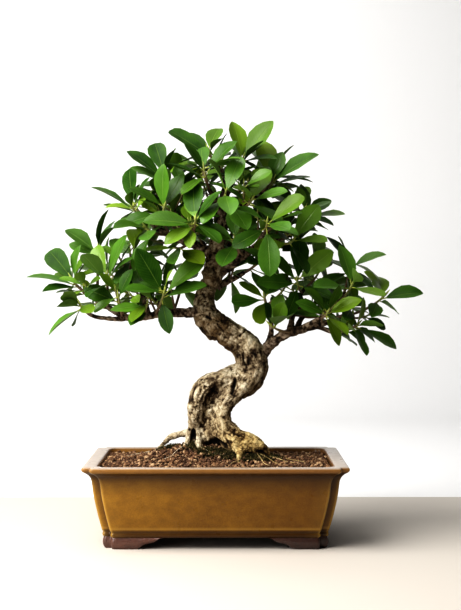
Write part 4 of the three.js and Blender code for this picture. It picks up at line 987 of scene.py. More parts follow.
def foliage(name, shoots, slim=1.0):
    """One piece from shoots: for each, its twig and its leaves, with a material number on every face. The
    mesh carries how young each leaf is, with painted light added on the far left, a tone of its own, and its
    place on the blade as a UV map. The edge of a blade is sharp, so each side is shaded for itself."""
    parts, marks, young, tone, uv, rim = [], [], [], [], [], []
    stations = len(STATIONS) - 1
    size = stations * len(RING) + 1
    for number, shoot in enumerate(shoots):
        points, faces = skin(twig_rings(shoot, slim))
        parts.append((points, faces))
        marks += [TWIG_WOOD] * len(faces)
        young.append(np.linspace(0, 1, len(points)))
        tone.append(np.full(len(points), draw(number, len(points), 3)))
        uv.append(np.zeros((len(points), 2)))
        rim.append(np.zeros(len(points), bool))
        surface, place = leaf_surface(shoot["grown"])
        for k in range(len(shoot["grown"])):
            parts.append((surface[k].reshape(-1, 3)[:size], LEAF_FACES))
            marks += [LEAF_UNDERSIDE if below else LEAF_TOP for below in LEAF_UNDER]
            fresh, own_tone = look_of(shoot, k)
            young.append(np.full(size, fresh))
            tone.append(np.full(size, own_tone))
            uv.append(place[k].reshape(-1, 2)[:size])
            rim.append(np.append(np.tile(np.abs(FLAT) == 1, stations), True))
    points, faces = joined(parts)
    mesh = mesh_of(name, placed(points), faces)
    mesh.polygons.foreach_set("material_index", np.array(marks, np.int32))
    keep_values(mesh, "young", np.concatenate(young))
    keep_values(mesh, "tone", np.concatenate(tone))
    corners = np.zeros(len(mesh.loops), np.int32)
    mesh.loops.foreach_get("vertex_index", corners)
    ends = np.zeros(len(mesh.edges) * 2, np.int32)
    mesh.edges.foreach_get("vertices", ends)
    sharp = mesh.attributes.new("sharp_edge", "BOOLEAN", "EDGE")
    sharp.data.foreach_set("value", np.concatenate(rim)[ends].reshape(-1, 2).all(1))
    layer = mesh.uv_layers.new(name="blade")
    layer.data.foreach_set("uv", np.concatenate(uv)[corners].astype(np.float32).ravel())
    return shown(name, mesh)


foliage_pieces = []
for s, shoot in enumerate(SHOOTS, 1):
    foliage_pieces.append(foliage(f"foliage_{s:02d}", [shoot]))
side_pieces = []
for name in BRANCHES:
    own = [shoot for shoot in side if shoot["on"] == name]
    if own:
        side_pieces.append(foliage(f"side_shoots_{name}", own, SIDE["slim"]))
print(len(foliage_pieces), "shoots and", len(side_pieces), "groups of side shoots")
worst = 0
for s, piece in enumerate(foliage_pieces, 1):
    cad = np.array(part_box(f"shoot_{s:02d}"))
    fine = points_of(piece.data)
    worst = max(worst, np.abs(cad[0] - fine.min(0)).max(), np.abs(cad[1] - fine.max(0)).max())
print("fine shoots leave the boxes of their plain ones by at most", round(worst / MM, 1), "mm")

# %% [markdown]
# The pot in plan is a rectangle with a small notch in each corner, and every edge of the notch is rounded
# by the clay and the glaze. The same plan, drawn in by different amounts, gives every level of the wall, so
# the whole pot is one sheet: a plan that is carried up the outside, over the lip and down the inside.

# %% The pot's plan
POT = {"width": 307, "depth": 226, "foot_height": 13, "floor": 9, "notch": 10, "inner_round": 15}
NOTCH_ROUNDS = (3.6, 2.6, 3.6)
ARC_POINTS = 6
SIDE_POINTS = 14
CENTRE_SHARE = 0.02  # a level sheet is closed by its outline at this share of its size


def rounded(corner, before, after, radius, steps):
    """An arc that rounds a corner: the curve from a point before it to a point after it that bends towards
    it."""
    t = np.linspace(0, 1, steps)[:, None]
    start = corner + unit(before - corner) * radius
    end = corner + unit(after - corner) * radius
    return (1 - t) ** 2 * start + 2 * t * (1 - t) * corner + t**2 * end


def notched_quarter(a, b):
    """The notched corner at a, b: out, in and out again, each bend an arc."""
    n = POT["notch"]
    path = np.array([[a, 0], [a, b - n], [a - n, b - n], [a - n, b], [0, b]], float)
    return np.vstack([rounded(path[k], path[k - 1], path[k + 1], radius, ARC_POINTS)
                      for k, radius in enumerate(NOTCH_ROUNDS, 1)])


def round_quarter(a, b):
    """A plain round corner with the same number of points."""
    r = POT["inner_round"]
    turn = np.linspace(0, np.pi / 2, ARC_POINTS * len(NOTCH_ROUNDS))
    return np.stack([a - r + r * np.cos(turn), b - r + r * np.sin(turn)], axis=1)


def plan(inset, quarter):
    """The whole outline at an inset from the rim: one corner mirrored to the others, with points along the
    sides."""
    corner = quarter(POT["width"] / 2 - inset, POT["depth"] / 2 - inset)
    turned_back = corner[::-1]
    corners = [corner, turned_back * [-1, 1], corner * [-1, -1], turned_back * [1, -1]]
    outline = []
    for k, points in enumerate(corners):
        after = corners[(k + 1) % 4][0]
        side_shares = np.linspace(0, 1, SIDE_POINTS + 2)[1:-1, None]
        outline += [points, points[-1] + (after - points[-1]) * side_shares]
    return np.vstack(outline)


# %% The pot's wall
OUTSIDE = [[28, 13], [25.4, 13.6], [24.2, 16], [24.8, 19], [23.6, 22], [19.6, 38], [15.2, 60], [13.4, 74],
           [12.4, 79.5], [10.8, 83], [7.6, 86.4], [4, 88.8], [2.4, 90.6], [2.2, 92.4], [3.2, 94.2], [5.8, 95]]
INSIDE = [[16, 94.6], [18.6, 92.8], [20, 86], [32, 22]]
INSIDE_MIDDLE = [26, 50]
SECTION_POINTS = 72
LIP_BLEND = 5  # rings over which the notched plan turns into the round one
WANDER = {"size": 46, "height": 0.35, "above": 20}


def at_height(outline, z):
    """A ring: the outline, laid level at a height."""
    return np.column_stack([outline, np.full(len(outline), float(z))])


def pot_rings():
    """Rings of the pot from the middle of its underside, out, up the wall, over the lip and down to its
    floor. The section is a smooth curve through the profile's points, and the hand-pressed wall wanders a
    little."""
    section = smooth_line(OUTSIDE + INSIDE[:3], np.linspace(0, 1, SECTION_POINTS))
    underside = plan(OUTSIDE[0][0], notched_quarter)
    rings = [at_height(underside * share, POT["foot_height"]) for share in (CENTRE_SHARE, 0.5, 0.93)]
    lip = len(section) * (len(OUTSIDE) - 1) // (len(OUTSIDE) + 2)
    for k, (inset, z) in enumerate(section):
        soft = np.clip((k - lip) / LIP_BLEND, 0, 1)
        outline = plan(inset, notched_quarter) * (1 - soft) + plan(inset, round_quarter) * soft
        rings.append(at_height(outline, z))
    rings += [at_height(plan(inset, round_quarter), z) for inset, z in (INSIDE_MIDDLE, INSIDE[-1])]
    floor = plan(INSIDE[-1][0], round_quarter)
    rings += [at_height(floor * share, POT["foot_height"] + POT["floor"]) for share in (0.5, CENTRE_SHARE)]
    rings = np.array(rings)
    wander = layered(rings, WANDER["size"], 2, 610)[..., None] * WANDER["height"]
    outward = unit(rings * [1, 1, 0])
    return rings + outward * wander * (rings[..., 2:] > WANDER["above"])


pot_points, pot_faces = skin(pot_rings())
pot_glazed = shown("pot_glazed", mesh_of("pot_glazed", placed(pot_points), pot_faces))

# %% [markdown]
# Two drain holes pass through the floor. They are cut with a Boolean and two plain cylinders, which is
# exact, and the cylinders are then removed. A hole could also be part of the sheet, but the wall's points
# would have to run round it.

# %% Drain holes
DRAIN = {"radius": 10, "offset": 62, "sides": 32, "low": 8, "high": 30}


def cut_drains(piece):
    """Subtracts a round bore at each side of the floor's middle, and keeps the result as the piece's own
    mesh."""
    turn = 2 * np.pi * np.arange(DRAIN["sides"]) / DRAIN["sides"]
    for x in (-DRAIN["offset"], DRAIN["offset"]):
        circle = np.stack([x + DRAIN["radius"] * np.cos(turn), DRAIN["radius"] * np.sin(turn)], axis=1)
        points, faces = skin(np.array([at_height(circle, DRAIN["low"]), at_height(circle, DRAIN["high"])]))
        bore = shown("bore", mesh_of("bore", placed(points), faces))
        cut = piece.modifiers.new("drain", "BOOLEAN")
        cut.operation, cut.solver, cut.object = "DIFFERENCE", "EXACT", bore
        cut_mesh = bpy.data.meshes.new_from_object(piece.evaluated_get(bpy.context.evaluated_depsgraph_get()))
        piece.modifiers.clear()
        piece.data = cut_mesh
        bpy.data.objects.remove(bore)


cut_drains(pot_glazed)
print("pot:", len(pot_glazed.data.polygons), "faces")

# %% [markdown]
# Glaze draws back from sharp edges and gathers in folds. The notched corners have both: two upright edges,
# where it is thin and golden, and one upright fold between them, where it is thick and dark. The gold on the
# edges also stands for a painted highlight. Each point's distance to them gives two masks.

# %% Where the glaze is thin and thick
GLAZE_BAND = {"worn_and_sheen": 2.4, "pooled": 2.8}
pot_at = (points_of(pot_glazed.data) - POT_MIDDLE) / MM
inset = np.interp(pot_at[:, 2], *np.array(OUTSIDE[1:])[:, ::-1].T)
past_x = np.abs(pot_at[:, 0]) - (POT["width"] / 2 - inset)
past_y = np.abs(pot_at[:, 1]) - (POT["depth"] / 2 - inset)
to_edge = np.minimum(np.hypot(past_x, past_y + POT["notch"]), np.hypot(past_x + POT["notch"], past_y))
to_fold = np.hypot(past_x + POT["notch"], past_y + POT["notch"])
# Gold on the notch edges: glaze that thins there, and a painted highlight.
keep_values(pot_glazed.data, "worn_and_sheen", np.exp(-((to_edge / GLAZE_BAND["worn_and_sheen"]) ** 2)))
keep_values(pot_glazed.data, "pooled", np.exp(-((to_fold / GLAZE_BAND["pooled"]) ** 2)))

# %% [markdown]
# The pot stands on four bracket feet of bare clay. Each foot follows the corner, and its lower edge is
# level at the corner and then climbs in steps, like the edge of a cloud. So a foot is a wall that is
# carried along an L: its height above the table is a function of how far from the corner it has come.

# %% Bracket feet
FOOT = {"front": 68, "side": 49, "thick": 15, "inset": 25, "top": 13.4, "front_points": 30, "side_points": 26}
SOFT_EDGE = {"width": 1.2, "segments": 3, "angle": 50}
SCROLL = np.array([
    [0, 0], [0.56, 0], [0.62, 1.2], [0.66, 3.4], [0.72, 5.8], [0.79, 6.8], [0.85, 7.4], [0.9, 9],
    [0.96, 12.2], [1, 13.2]])
BULGE = [[0, -2.8], [0.1, -1.2], [0.28, -0.1], [0.5, 0.5], [0.75, 0.1], [1, -0.9]]


def foot_rings(x_sign, y_sign):
    """Rings along the L of a foot: at each place the inner edge, the rounded face from the sole up, and the
    top."""
    corner = notched_quarter(POT["width"] / 2 - FOOT["inset"], POT["depth"] / 2 - FOOT["inset"])
    a, b = corner[:, 0].max(), corner[:, 1].max()
    side_run = np.linspace(b - FOOT["side"], corner[0, 1], FOOT["side_points"])[:-1]
    front_run = np.linspace(corner[-1, 0], a - FOOT["front"], FOOT["front_points"])[1:]
    outer = np.vstack([np.column_stack([np.full(len(side_run), a), side_run]), corner,
                       np.column_stack([front_run, np.full(len(front_run), b)])])
    share = np.maximum((b - outer[:, 1]) / FOOT["side"], (a - outer[:, 0]) / FOOT["front"])
    low = np.interp(share, *SCROLL.T)
    inner = np.minimum(outer, [a - FOOT["thick"], b - FOOT["thick"]])
    rings = [np.column_stack([inner, low])]
    for share_up, out in BULGE:
        bulged = outer + unit(outer - inner) * out
        rings.append(np.column_stack([bulged, low + (FOOT["top"] - low) * share_up]))
    rings.append(at_height(inner, FOOT["top"]))
    rings = np.array(rings).transpose(1, 0, 2) * [x_sign, y_sign, 1]
    return rings if x_sign * y_sign < 0 else rings[:, ::-1]


foot_parts = [skin(foot_rings(x, y)) for x in (-1, 1) for y in (-1, 1)]
feet_points, feet_faces = joined(foot_parts)
pot_feet = shown("pot_feet", mesh_of("pot_feet", placed(feet_points), feet_faces))
soften = pot_feet.modifiers.new("soft_edges", "BEVEL")
soften.width = SOFT_EDGE["width"] * MM
soften.segments = SOFT_EDGE["segments"]
soften.limit_method = "ANGLE"
soften.angle_limit = np.radians(SOFT_EDGE["angle"])
print("feet:", len(feet_faces), "faces")

# %% [markdown]
# The soil is a mound of baked-clay granules, red-brown, dry and angular. A bumpy sheet stands for the ones
# below, and the top two layers are real grains: one many-sided stone, copied thousands of times with its
# own size, turn and corners. All copies are turned and placed together, as arrays.

# %% The soil's bed
SOIL = {
    "edge": 89.5, "mound": 23, "middle": -12, "reach_x": 76, "reach_y": 44, "clear": 0.6, "above_floor": 0.3}
BED_SHEET = {"below": 2.4, "rings": 36, "outer": 0.97, "bump": 0.9, "bump_size": 5.0}


def soil_height(x, y):
    """Level near the wall and heaped round the trunk: a bell curve, wide along the pot and narrow across
    it."""
    from_middle = ((x - SOIL["middle"]) / SOIL["reach_x"]) ** 2 + (y / SOIL["reach_y"]) ** 2
    return SOIL["edge"] + SOIL["mound"] * np.exp(-from_middle)


def wall_inset(z):
    """How far the inside of the wall lies from the rim's edge, at a height."""
    (top_inset, top_z), (floor_inset, floor_z) = INSIDE[2:]
    return floor_inset + (top_inset - floor_inset) * (z - floor_z) / (top_z - floor_z) + SOIL["clear"]


bottom = POT["foot_height"] + POT["floor"] + SOIL["above_floor"]
edge_line = plan(wall_inset(SOIL["edge"]), round_quarter)
base_line = plan(wall_inset(bottom), round_quarter)
bed = [at_height(base_line * share, bottom) for share in (CENTRE_SHARE, 1)]
for share in [1, *np.linspace(BED_SHEET["outer"], CENTRE_SHARE, BED_SHEET["rings"])]:
    ring = edge_line * share
    bed.append(np.column_stack([ring, soil_height(*ring.T) - BED_SHEET["below"]]))
bed = np.array(bed)
bed[3:, :, 2] += BED_SHEET["bump"] * layered(bed[3:], BED_SHEET["bump_size"], 2, 700)
bed_points, bed_faces = skin(bed)
soil_bed = shown("soil_bed", mesh_of("soil_bed", placed(bed_points), bed_faces))

# %% The granules
GRAINS = {
    "count": 7000, "small": 1.1, "spare": 1.5, "from_wall": 1.2, "corner": 1.5, "lowest": 2.6, "layer": 3.4}
EVEN_STEPS = (0.7548776662466927, 0.5698402909980532)
GOLD = (1 + 5**0.5) / 2
STONE = unit(np.array([
    [-1, GOLD, 0], [1, GOLD, 0], [-1, -GOLD, 0], [1, -GOLD, 0], [0, -1, GOLD], [0, 1, GOLD],
    [0, -1, -GOLD], [0, 1, -GOLD], [GOLD, 0, -1], [GOLD, 0, 1], [-GOLD, 0, -1], [-GOLD, 0, 1]]))
STONE_FACES = np.array([
    [0, 11, 5], [0, 5, 1], [0, 1, 7], [0, 7, 10], [0, 10, 11], [1, 5, 9], [5, 11, 4], [11, 10, 2], [10, 7, 6],
    [7, 1, 8], [3, 9, 4], [3, 4, 2], [3, 2, 6], [3, 6, 8], [3, 8, 9], [4, 9, 5], [2, 4, 11], [6, 2, 10],
    [8, 6, 7], [9, 8, 1]])


def scattered(count, seed):
    """Places over the pot's opening, spread evenly: each step adds the same two odd shares and drops the
    whole."""
    k = np.arange(count) + seed
    x, y = (k * EVEN_STEPS[0]) % 1, (k * EVEN_STEPS[1]) % 1
    wide, deep = edge_line[:, 0].max(), edge_line[:, 1].max()
    x = (x - 0.5) * 2 * (wide - GRAINS["from_wall"])
    y = (y - 0.5) * 2 * (deep - GRAINS["from_wall"])
    r = POT["inner_round"]
    beyond = np.maximum(np.stack([np.abs(x) - wide + r, np.abs(y) - deep + r]), 0)
    inside = np.hypot(*beyond) < r - GRAINS["corner"]
    return x[inside], y[inside]


def stones(centre, size, key):
    """Stones at the centres: the corner points of a twenty-sided body, each pushed in or out, times three
    sizes, turned about two axes, and moved to its place."""
    count = len(centre)
    index = np.arange(count)[:, None]
    bumps = 0.72 + 0.5 * draw(index, np.arange(12)[None], key)
    body = STONE[None] * bumps[..., None] * (0.75 + 0.5 * draw(index, np.arange(3)[None], key + 1))[:, None]
    for axis, turn in enumerate(draw(index, np.arange(2)[None], key + 2).T * 2 * np.pi):
        c, s = np.cos(turn)[:, None], np.sin(turn)[:, None]
        one, two = (axis + 1) % 3, (axis + 2) % 3
        first, second = body[..., one].copy(), body[..., two].copy()
        body[..., one] = first * c - second * s
        body[..., two] = first * s + second * c
    points = body * size[:, None, None] + centre[:, None]
    faces = STONE_FACES[None] + 12 * np.arange(count)[:, None, None]
    return points.reshape(-1, 3), faces.reshape(-1, 3)


grain_x, grain_y = scattered(GRAINS["count"], 5)
number = np.arange(len(grain_x))
grain_size = GRAINS["small"] + GRAINS["spare"] * draw(number, 3, 31) ** 2
grain_z = soil_height(grain_x, grain_y) - GRAINS["lowest"] + GRAINS["layer"] * draw(number, 4, 31) ** 1.5
grain_points, grain_faces = stones(np.stack([grain_x, grain_y, grain_z], axis=1), grain_size, 41)
grain_mesh = mesh_of("soil_granules", placed(grain_points), grain_faces.tolist(), smooth=False)
keep_values(grain_mesh, "tone", np.repeat(draw(number, 9, 31), 12))
soil_granules = shown("soil_granules", grain_mesh)
print("granules:", len(number), "with", len(grain_faces), "faces")

# %% [markdown]
# Round the foot of the trunk the real soil holds dark moss, and a few thin pale rootlets have come up over
# it. One dark patch, between the left roots, is put where there is only shade: painted shade. Moss is a
# crowd of short curved blades; a rootlet is a thin tube that lies over the granules.

# %% Moss and rootlets
MOSS = {"count": 5200, "tallest": 7.5, "wide": 0.6, "sunk": 0.6, "lean": 1.3, "corners": (0, 2.09, 4.19)}
# The patch at x -30, y -12 fills the gap between the left roots as painted shade; the others are moss.
MOSS_AND_SHADE_PATCHES = [[-6, -28, 22, 9], [8, -34, 26, 9], [28, -36, 20, 9], [50, -30, 18, 9], [-30, -12, 12, 11],
                [66, -14, 14, 8], [-58, 4, 14, 7], [10, 34, 26, 10], [-30, 34, 16, 10]]


def moss_blades():
    """Blades in patches: places in each patch by a turn and a distance whose square is even, and for each
    blade three low corners and a tip that leans away."""
    share = MOSS["count"] // len(MOSS_AND_SHADE_PATCHES)
    points, faces = [], []
    for p, (x, y, wide, deep) in enumerate(MOSS_AND_SHADE_PATCHES):
        k = np.arange(share)
        turn, out = 2 * np.pi * draw(k, p, 51), np.sqrt(draw(k, p, 52))
        px, py = x + wide * out * np.cos(turn), y + deep * out * np.sin(turn)
        pz = soil_height(px, py) - MOSS["sunk"]
        tall = MOSS["tallest"] * (0.35 + 0.65 * draw(k, p, 53)) * (1.1 - 0.6 * out)
        lean = np.stack([draw(k, p, 54) - 0.5, draw(k, p, 55) - 0.5], axis=1) * MOSS["lean"]
        foot = np.stack([px, py, pz], axis=1)
        corners = np.stack([
            foot + MOSS["wide"] * np.column_stack([np.cos(turn + a), np.sin(turn + a), 0 * turn])
            for a in MOSS["corners"]], axis=1)
        tip = foot + np.column_stack([lean * tall[:, None], tall])
        start = 4 * share * p
        points.append(np.concatenate([corners, tip[:, None]], axis=1).reshape(-1, 3))
        shape = np.array([[0, 1, 3], [1, 2, 3], [2, 0, 3], [2, 1, 0]])
        faces.append((shape[None] + start + 4 * k[:, None, None]).reshape(-1, 3))
    return np.vstack(points), np.vstack(faces)


moss_points, moss_faces = moss_blades()
moss = shown("moss_tufts", mesh_of("moss_tufts", placed(moss_points), moss_faces.tolist()))

ROOTLETS = [
    [[52, -22, 101], [60, -32, 98], [68, -42, 93], [76, -50, 89.5]],
    [[48, -24, 102], [53, -38, 97], [56, -50, 91.5], [62, -60, 88.5]],
    [[62, -18, 97], [74, -24, 94.5], [84, -34, 91.5], [92, -38, 89.5]],
    [[66, -17, 92], [80, -16, 95.5], [92, -20, 93.5], [104, -26, 90.5]],
    [[30, -34, 99], [27, -46, 95], [20, -54, 91], [16, -62, 88.6]],
    [[-18, -22, 100], [-8, -30, 100.5], [2, -35, 98], [10, -37, 96]],
    [[-38, -12, 96], [-46, -22, 97], [-52, -34, 93], [-60, -40, 91]],
    [[-70, 12, 101], [-84, 8, 97], [-96, 10, 94], [-106, 4, 91]],
]
ROOTLET = {"lift": 1.2, "radius": 0.6, "taper": 0.12, "sides": 6, "step": 2.0}
rootlet_parts = []
for line in ROOTLETS:
    lying = []
    for k, (x, y, z) in enumerate(line):
        height = max(z, soil_height(x, y) + ROOTLET["lift"])
        lying.append([x, y, height, ROOTLET["radius"] - ROOTLET["taper"] * k])
    rootlet_parts.append(skin(tube(lying, ROOTLET["sides"], ROOTLET["step"])))
rootlet_points, rootlet_faces = joined(rootlet_parts)
rootlets = shown("rootlets", mesh_of("rootlets", placed(rootlet_points), rootlet_faces))
for mask in ("shade_and_tone", "stain_and_shade"):
    keep_values(rootlets.data, mask, np.zeros(len(rootlet_points)))
print("moss:", len(moss_faces), "faces, rootlets:", len(rootlet_faces))

# %% [markdown]
# Materials. Each is a Principled shader, whose colour, roughness and bump come from noise that is fixed to
# the piece. A few lines of helper code keep the node trees readable: a node is added with its settings and
# with what its sockets get, which is a value or another node's output.

# %% Helpers for materials
def node(tree, kind, inputs=None, **settings):
    """Adds one node to a tree, sets its properties, and gives each named socket a value or a link."""
    made = tree.nodes.new(kind)
    for name, value in settings.items():
        setattr(made, name, value)
    for name, value in (inputs or {}).items():
        if isinstance(value, bpy.types.NodeSocket):
            tree.links.new(value, made.inputs[name])
        else:
            made.inputs[name].default_value = value
    return made


def ramp(tree, factor, stops):
    """Colours along a factor from 0 to 1, blended between stops of (place, colour)."""
    made = node(tree, "ShaderNodeValToRGB", {"Fac": factor})
    elements = made.color_ramp.elements
    while len(elements) < len(stops):
        elements.new(0.5)
    for element, (place, colour) in zip(elements, stops):
        element.position, element.color = place, (*colour, 1)
    return made.outputs["Color"]


def mixed(tree, factor, one, other, kind="MIX"):
    """Blends two colours by a factor."""
    made = node(tree, "ShaderNodeMix", data_type="RGBA", blend_type=kind)
    for name, value in (("Factor", factor), ("A", one), ("B", other)):
        kind_of_socket = "VALUE" if name == "Factor" else "RGBA"
        socket = [s for s in made.inputs if s.name == name and s.type == kind_of_socket][0]
        if isinstance(value, bpy.types.NodeSocket):
            tree.links.new(value, socket)
        else:
            socket.default_value = (*value, 1) if name != "Factor" else value
    return [s for s in made.outputs if s.type == "RGBA"][0]


def value_of(tree, operation, *terms, clamp=False):
    """One step of arithmetic on values or sockets."""
    made = node(tree, "ShaderNodeMath", operation=operation, use_clamp=clamp)
    for socket, term in zip(made.inputs, terms):
        if isinstance(term, bpy.types.NodeSocket):
            tree.links.new(term, socket)
        else:
            socket.default_value = term
    return made.outputs["Value"]


def ranged(tree, value, low, high):
    """How far a value has come from low to high, from 0 to 1."""
    made = node(tree, "ShaderNodeMapRange", {"Value": value, "From Min": low, "From Max": high})
    return made.outputs["Result"]


def material_of(name, **sockets):
    """A new material: its tree, its Principled shader with plain values set on its own sockets, and its
    nodes."""
    material = bpy.data.materials.new(name)
    material.use_nodes = True
    shader = material.node_tree.nodes["Principled BSDF"]
    for socket, value in sockets.items():
        shader.inputs[socket].default_value = value
    return material, material.node_tree, shader


def read(tree, name):
    """A mask that the mesh carries."""
    return node(tree, "ShaderNodeAttribute", attribute_name=name).outputs["Fac"]


# %% [markdown]
# Three effects serve several materials, so each is a node group: mottling, which is soft clouds of tone,
# pores, which are small dark specks, and wrinkles, which are thin creases that wander.

# %% Shared effects
def group_of(name, inputs, output):
    """An empty node group whose named sockets all carry numbers."""
    tree = bpy.data.node_groups.new(name, "ShaderNodeTree")
    for socket in inputs:
        tree.interface.new_socket(socket, in_out="INPUT", socket_type="NodeSocketFloat")
    tree.interface.new_socket(output, in_out="OUTPUT", socket_type="NodeSocketFloat")
    return tree, tree.nodes.new("NodeGroupInput").outputs, tree.nodes.new("NodeGroupOutput").inputs


def make_mottling():
    """Clouds of tone: layered noise on object coordinates, spread by a contrast round its middle value."""
    tree, given, wanted = group_of("mottling", ("Scale", "Contrast"), "Tone")
    place = node(tree, "ShaderNodeTexCoord").outputs["Object"]
    cloud = node(tree, "ShaderNodeTexNoise", {"Vector": place, "Scale": given["Scale"], "Detail": 5.0})
    centred = value_of(tree, "SUBTRACT", cloud.outputs["Fac"], 0.5)
    spread = value_of(tree, "MULTIPLY_ADD", centred, given["Contrast"], 0.5, clamp=True)
    tree.links.new(spread, wanted["Tone"])
    return tree


def make_pores():
    """Specks: inside a small part of each cell of a Voronoi pattern the mask is 1, and it falls off at its
    rim."""
    tree, given, wanted = group_of("pores", ("Scale", "Size"), "Mask")
    place = node(tree, "ShaderNodeTexCoord").outputs["Object"]
    cells = node(tree, "ShaderNodeTexVoronoi", {"Vector": place, "Scale": given["Scale"], "Randomness": 1.0})
    inside = value_of(tree, "SUBTRACT", given["Size"], cells.outputs["Distance"])
    mask = value_of(tree, "MULTIPLY", inside, 9.0, clamp=True)
    tree.links.new(mask, wanted["Mask"])
    return tree


def make_wrinkles():
    """Thin wandering creases: layered noise is folded at its middle value, and the mask is 1 along the
    fold."""
    tree, given, wanted = group_of("wrinkles", ("Scale", "Width"), "Mask")
    place = node(tree, "ShaderNodeTexCoord").outputs["Object"]
    cloud = node(tree, "ShaderNodeTexNoise", {"Vector": place, "Scale": given["Scale"], "Detail": 4.0})
    fold = value_of(tree, "ABSOLUTE", value_of(tree, "SUBTRACT", cloud.outputs["Fac"], 0.5))
    mask = value_of(tree, "SUBTRACT", 1.0, value_of(tree, "DIVIDE", fold, given["Width"]), clamp=True)
    tree.links.new(mask, wanted["Mask"])
    return tree


def effect(group, second):
    """A function that puts a shared effect into a material, with its own scale and its own second value."""
    def used(tree, scale, value):
        values = {"Scale": scale, second: value}
        return node(tree, "ShaderNodeGroup", values, node_tree=group).outputs[0]
    return used


mottling = effect(make_mottling(), "Contrast")
pores = effect(make_pores(), "Size")
wrinkles = effect(make_wrinkles(), "Width")


def bumped(tree, shader, height, distance, strength=1.0):
    """Relief from a height, which goes into the shader's Normal."""
    bump = node(tree, "ShaderNodeBump", {"Height": height, "Distance": distance, "Strength": strength})
    tree.links.new(bump.outputs["Normal"], shader.inputs["Normal"])


# %% [markdown]
# Bark: pale grey-tan on the ridges and almost black in the hollows, which is painted shade that the mesh's
# own mask gives. Low down on the right the wood is yellower, where roots have rubbed clean, and its place in
# the frame says where. A second mask turns it brown: brown stains, and painted shade on undersides and on
# the side away from the light.

# %% Bark
RUBBED = {"height": (0.165, 0.12), "across": (-0.035, 0.02)}


def bark_material(name, pale, middle, dark):
    """Ridges, sides and hollows of bark by the mask of how deep each point lies, broken up by mottling,
    wrinkles and pores; the dark of cracks and hollows is painted shade. The wood is yellow low down on the
    right, where roots have rubbed clean, and brown by the second mask: brown stains, and painted shade on
    undersides and on the side away from the light."""
    material, tree, shader = material_of(name, **{"Roughness": 0.86, "Specular IOR Level": 0.2})
    tone = mottling(tree, 90.0, 2.4)
    specks = value_of(tree, "MULTIPLY", pores(tree, 620.0, 0.24), mottling(tree, 150.0, 4.0))
    patches = value_of(tree, "MULTIPLY_ADD", mottling(tree, 60.0, 2.0), 0.8, 0.25)
    creases = value_of(tree, "MULTIPLY", wrinkles(tree, 170.0, 0.05), patches)
    # The mask read here is painted shade in the trunk's cracks and hollows, and a random tone on the branches.
    depth = value_of(tree, "ADD", read(tree, "shade_and_tone"), value_of(tree, "MULTIPLY_ADD", tone, 0.5, -0.22))
    depth = value_of(tree, "MULTIPLY_ADD", creases, 0.45, depth)
    depth = value_of(tree, "MULTIPLY_ADD", specks, 0.25, depth, clamp=True)
    colour = ramp(tree, depth, [(0.0, pale), (0.3, middle), (0.62, dark), (0.95, (0.012, 0.008, 0.005))])
    object_place = node(tree, "ShaderNodeTexCoord").outputs["Object"]
    place = node(tree, "ShaderNodeSeparateXYZ", {"Vector": object_place})
    low = ranged(tree, place.outputs["Z"], *RUBBED["height"])
    right = ranged(tree, place.outputs["X"], *RUBBED["across"])
    rubbed = value_of(tree, "MULTIPLY", low, right)
    colour = mixed(tree, value_of(tree, "MULTIPLY", rubbed, 0.9), colour, (1.0, 0.86, 0.5), "MULTIPLY")
    # Brown stains, and painted shade on undersides and on the side away from the light.
    colour = mixed(tree, read(tree, "stain_and_shade"), colour, (0.25, 0.195, 0.135), "MULTIPLY")
    tree.links.new(colour, shader.inputs["Base Color"])
    fine = node(tree, "ShaderNodeTexNoise", {
        "Vector": object_place, "Scale": 420.0, "Detail": 6.0, "Roughness": 0.7})
    grain = value_of(tree, "MULTIPLY_ADD", specks, -0.3, fine.outputs["Fac"])
    grain = value_of(tree, "MULTIPLY_ADD", creases, -0.7, grain)
    bumped(tree, shader, value_of(tree, "MULTIPLY_ADD", read(tree, "shade_and_tone"), -0.6, grain), 0.0016)
    return material


BARK = bark_material("bark", (0.74, 0.66, 0.50), (0.43, 0.345, 0.22), (0.09, 0.058, 0.032))
BRANCH_BARK = bark_material("branch_bark", (0.44, 0.36, 0.27), (0.24, 0.175, 0.12), (0.05, 0.033, 0.021))

# %% [markdown]
# Leaves: a waxy dark green above with a pale rib and fine side veins, and a lighter, duller green below.
# The youngest ones are yellow-green. The veins follow the blade, so they read the leaf's own UV map: across
# it and along it.

# %% Leaves and twigs
def vein_masks(tree):
    """The rib is a narrow band along the middle, wider at the stalk. Side veins are stripes that slant
    forward: a wave of how far along the blade, less the distance from the rib."""
    uv = node(tree, "ShaderNodeUVMap", uv_map="blade").outputs["UV"]
    place = node(tree, "ShaderNodeSeparateXYZ", {"Vector": uv})
    beside = value_of(tree, "ABSOLUTE", value_of(tree, "SUBTRACT", place.outputs["X"], 0.5))
    reach = value_of(tree, "MULTIPLY_ADD", place.outputs["Y"], -0.035, 0.05)
    rib = value_of(tree, "SUBTRACT", 1.0, value_of(tree, "DIVIDE", beside, reach), clamp=True)
    slant = value_of(tree, "SUBTRACT", place.outputs["Y"], value_of(tree, "MULTIPLY", beside, 0.42))
    wave = value_of(tree, "SINE", value_of(tree, "MULTIPLY", slant, 46.0))
    veins = value_of(tree, "SUBTRACT", 1.0, value_of(tree, "ABSOLUTE", wave), clamp=True)
    veins = value_of(tree, "POWER", veins, 5.0)
    return rib, veins, ranged(tree, place.outputs["Y"], 0.17, 0.11), beside


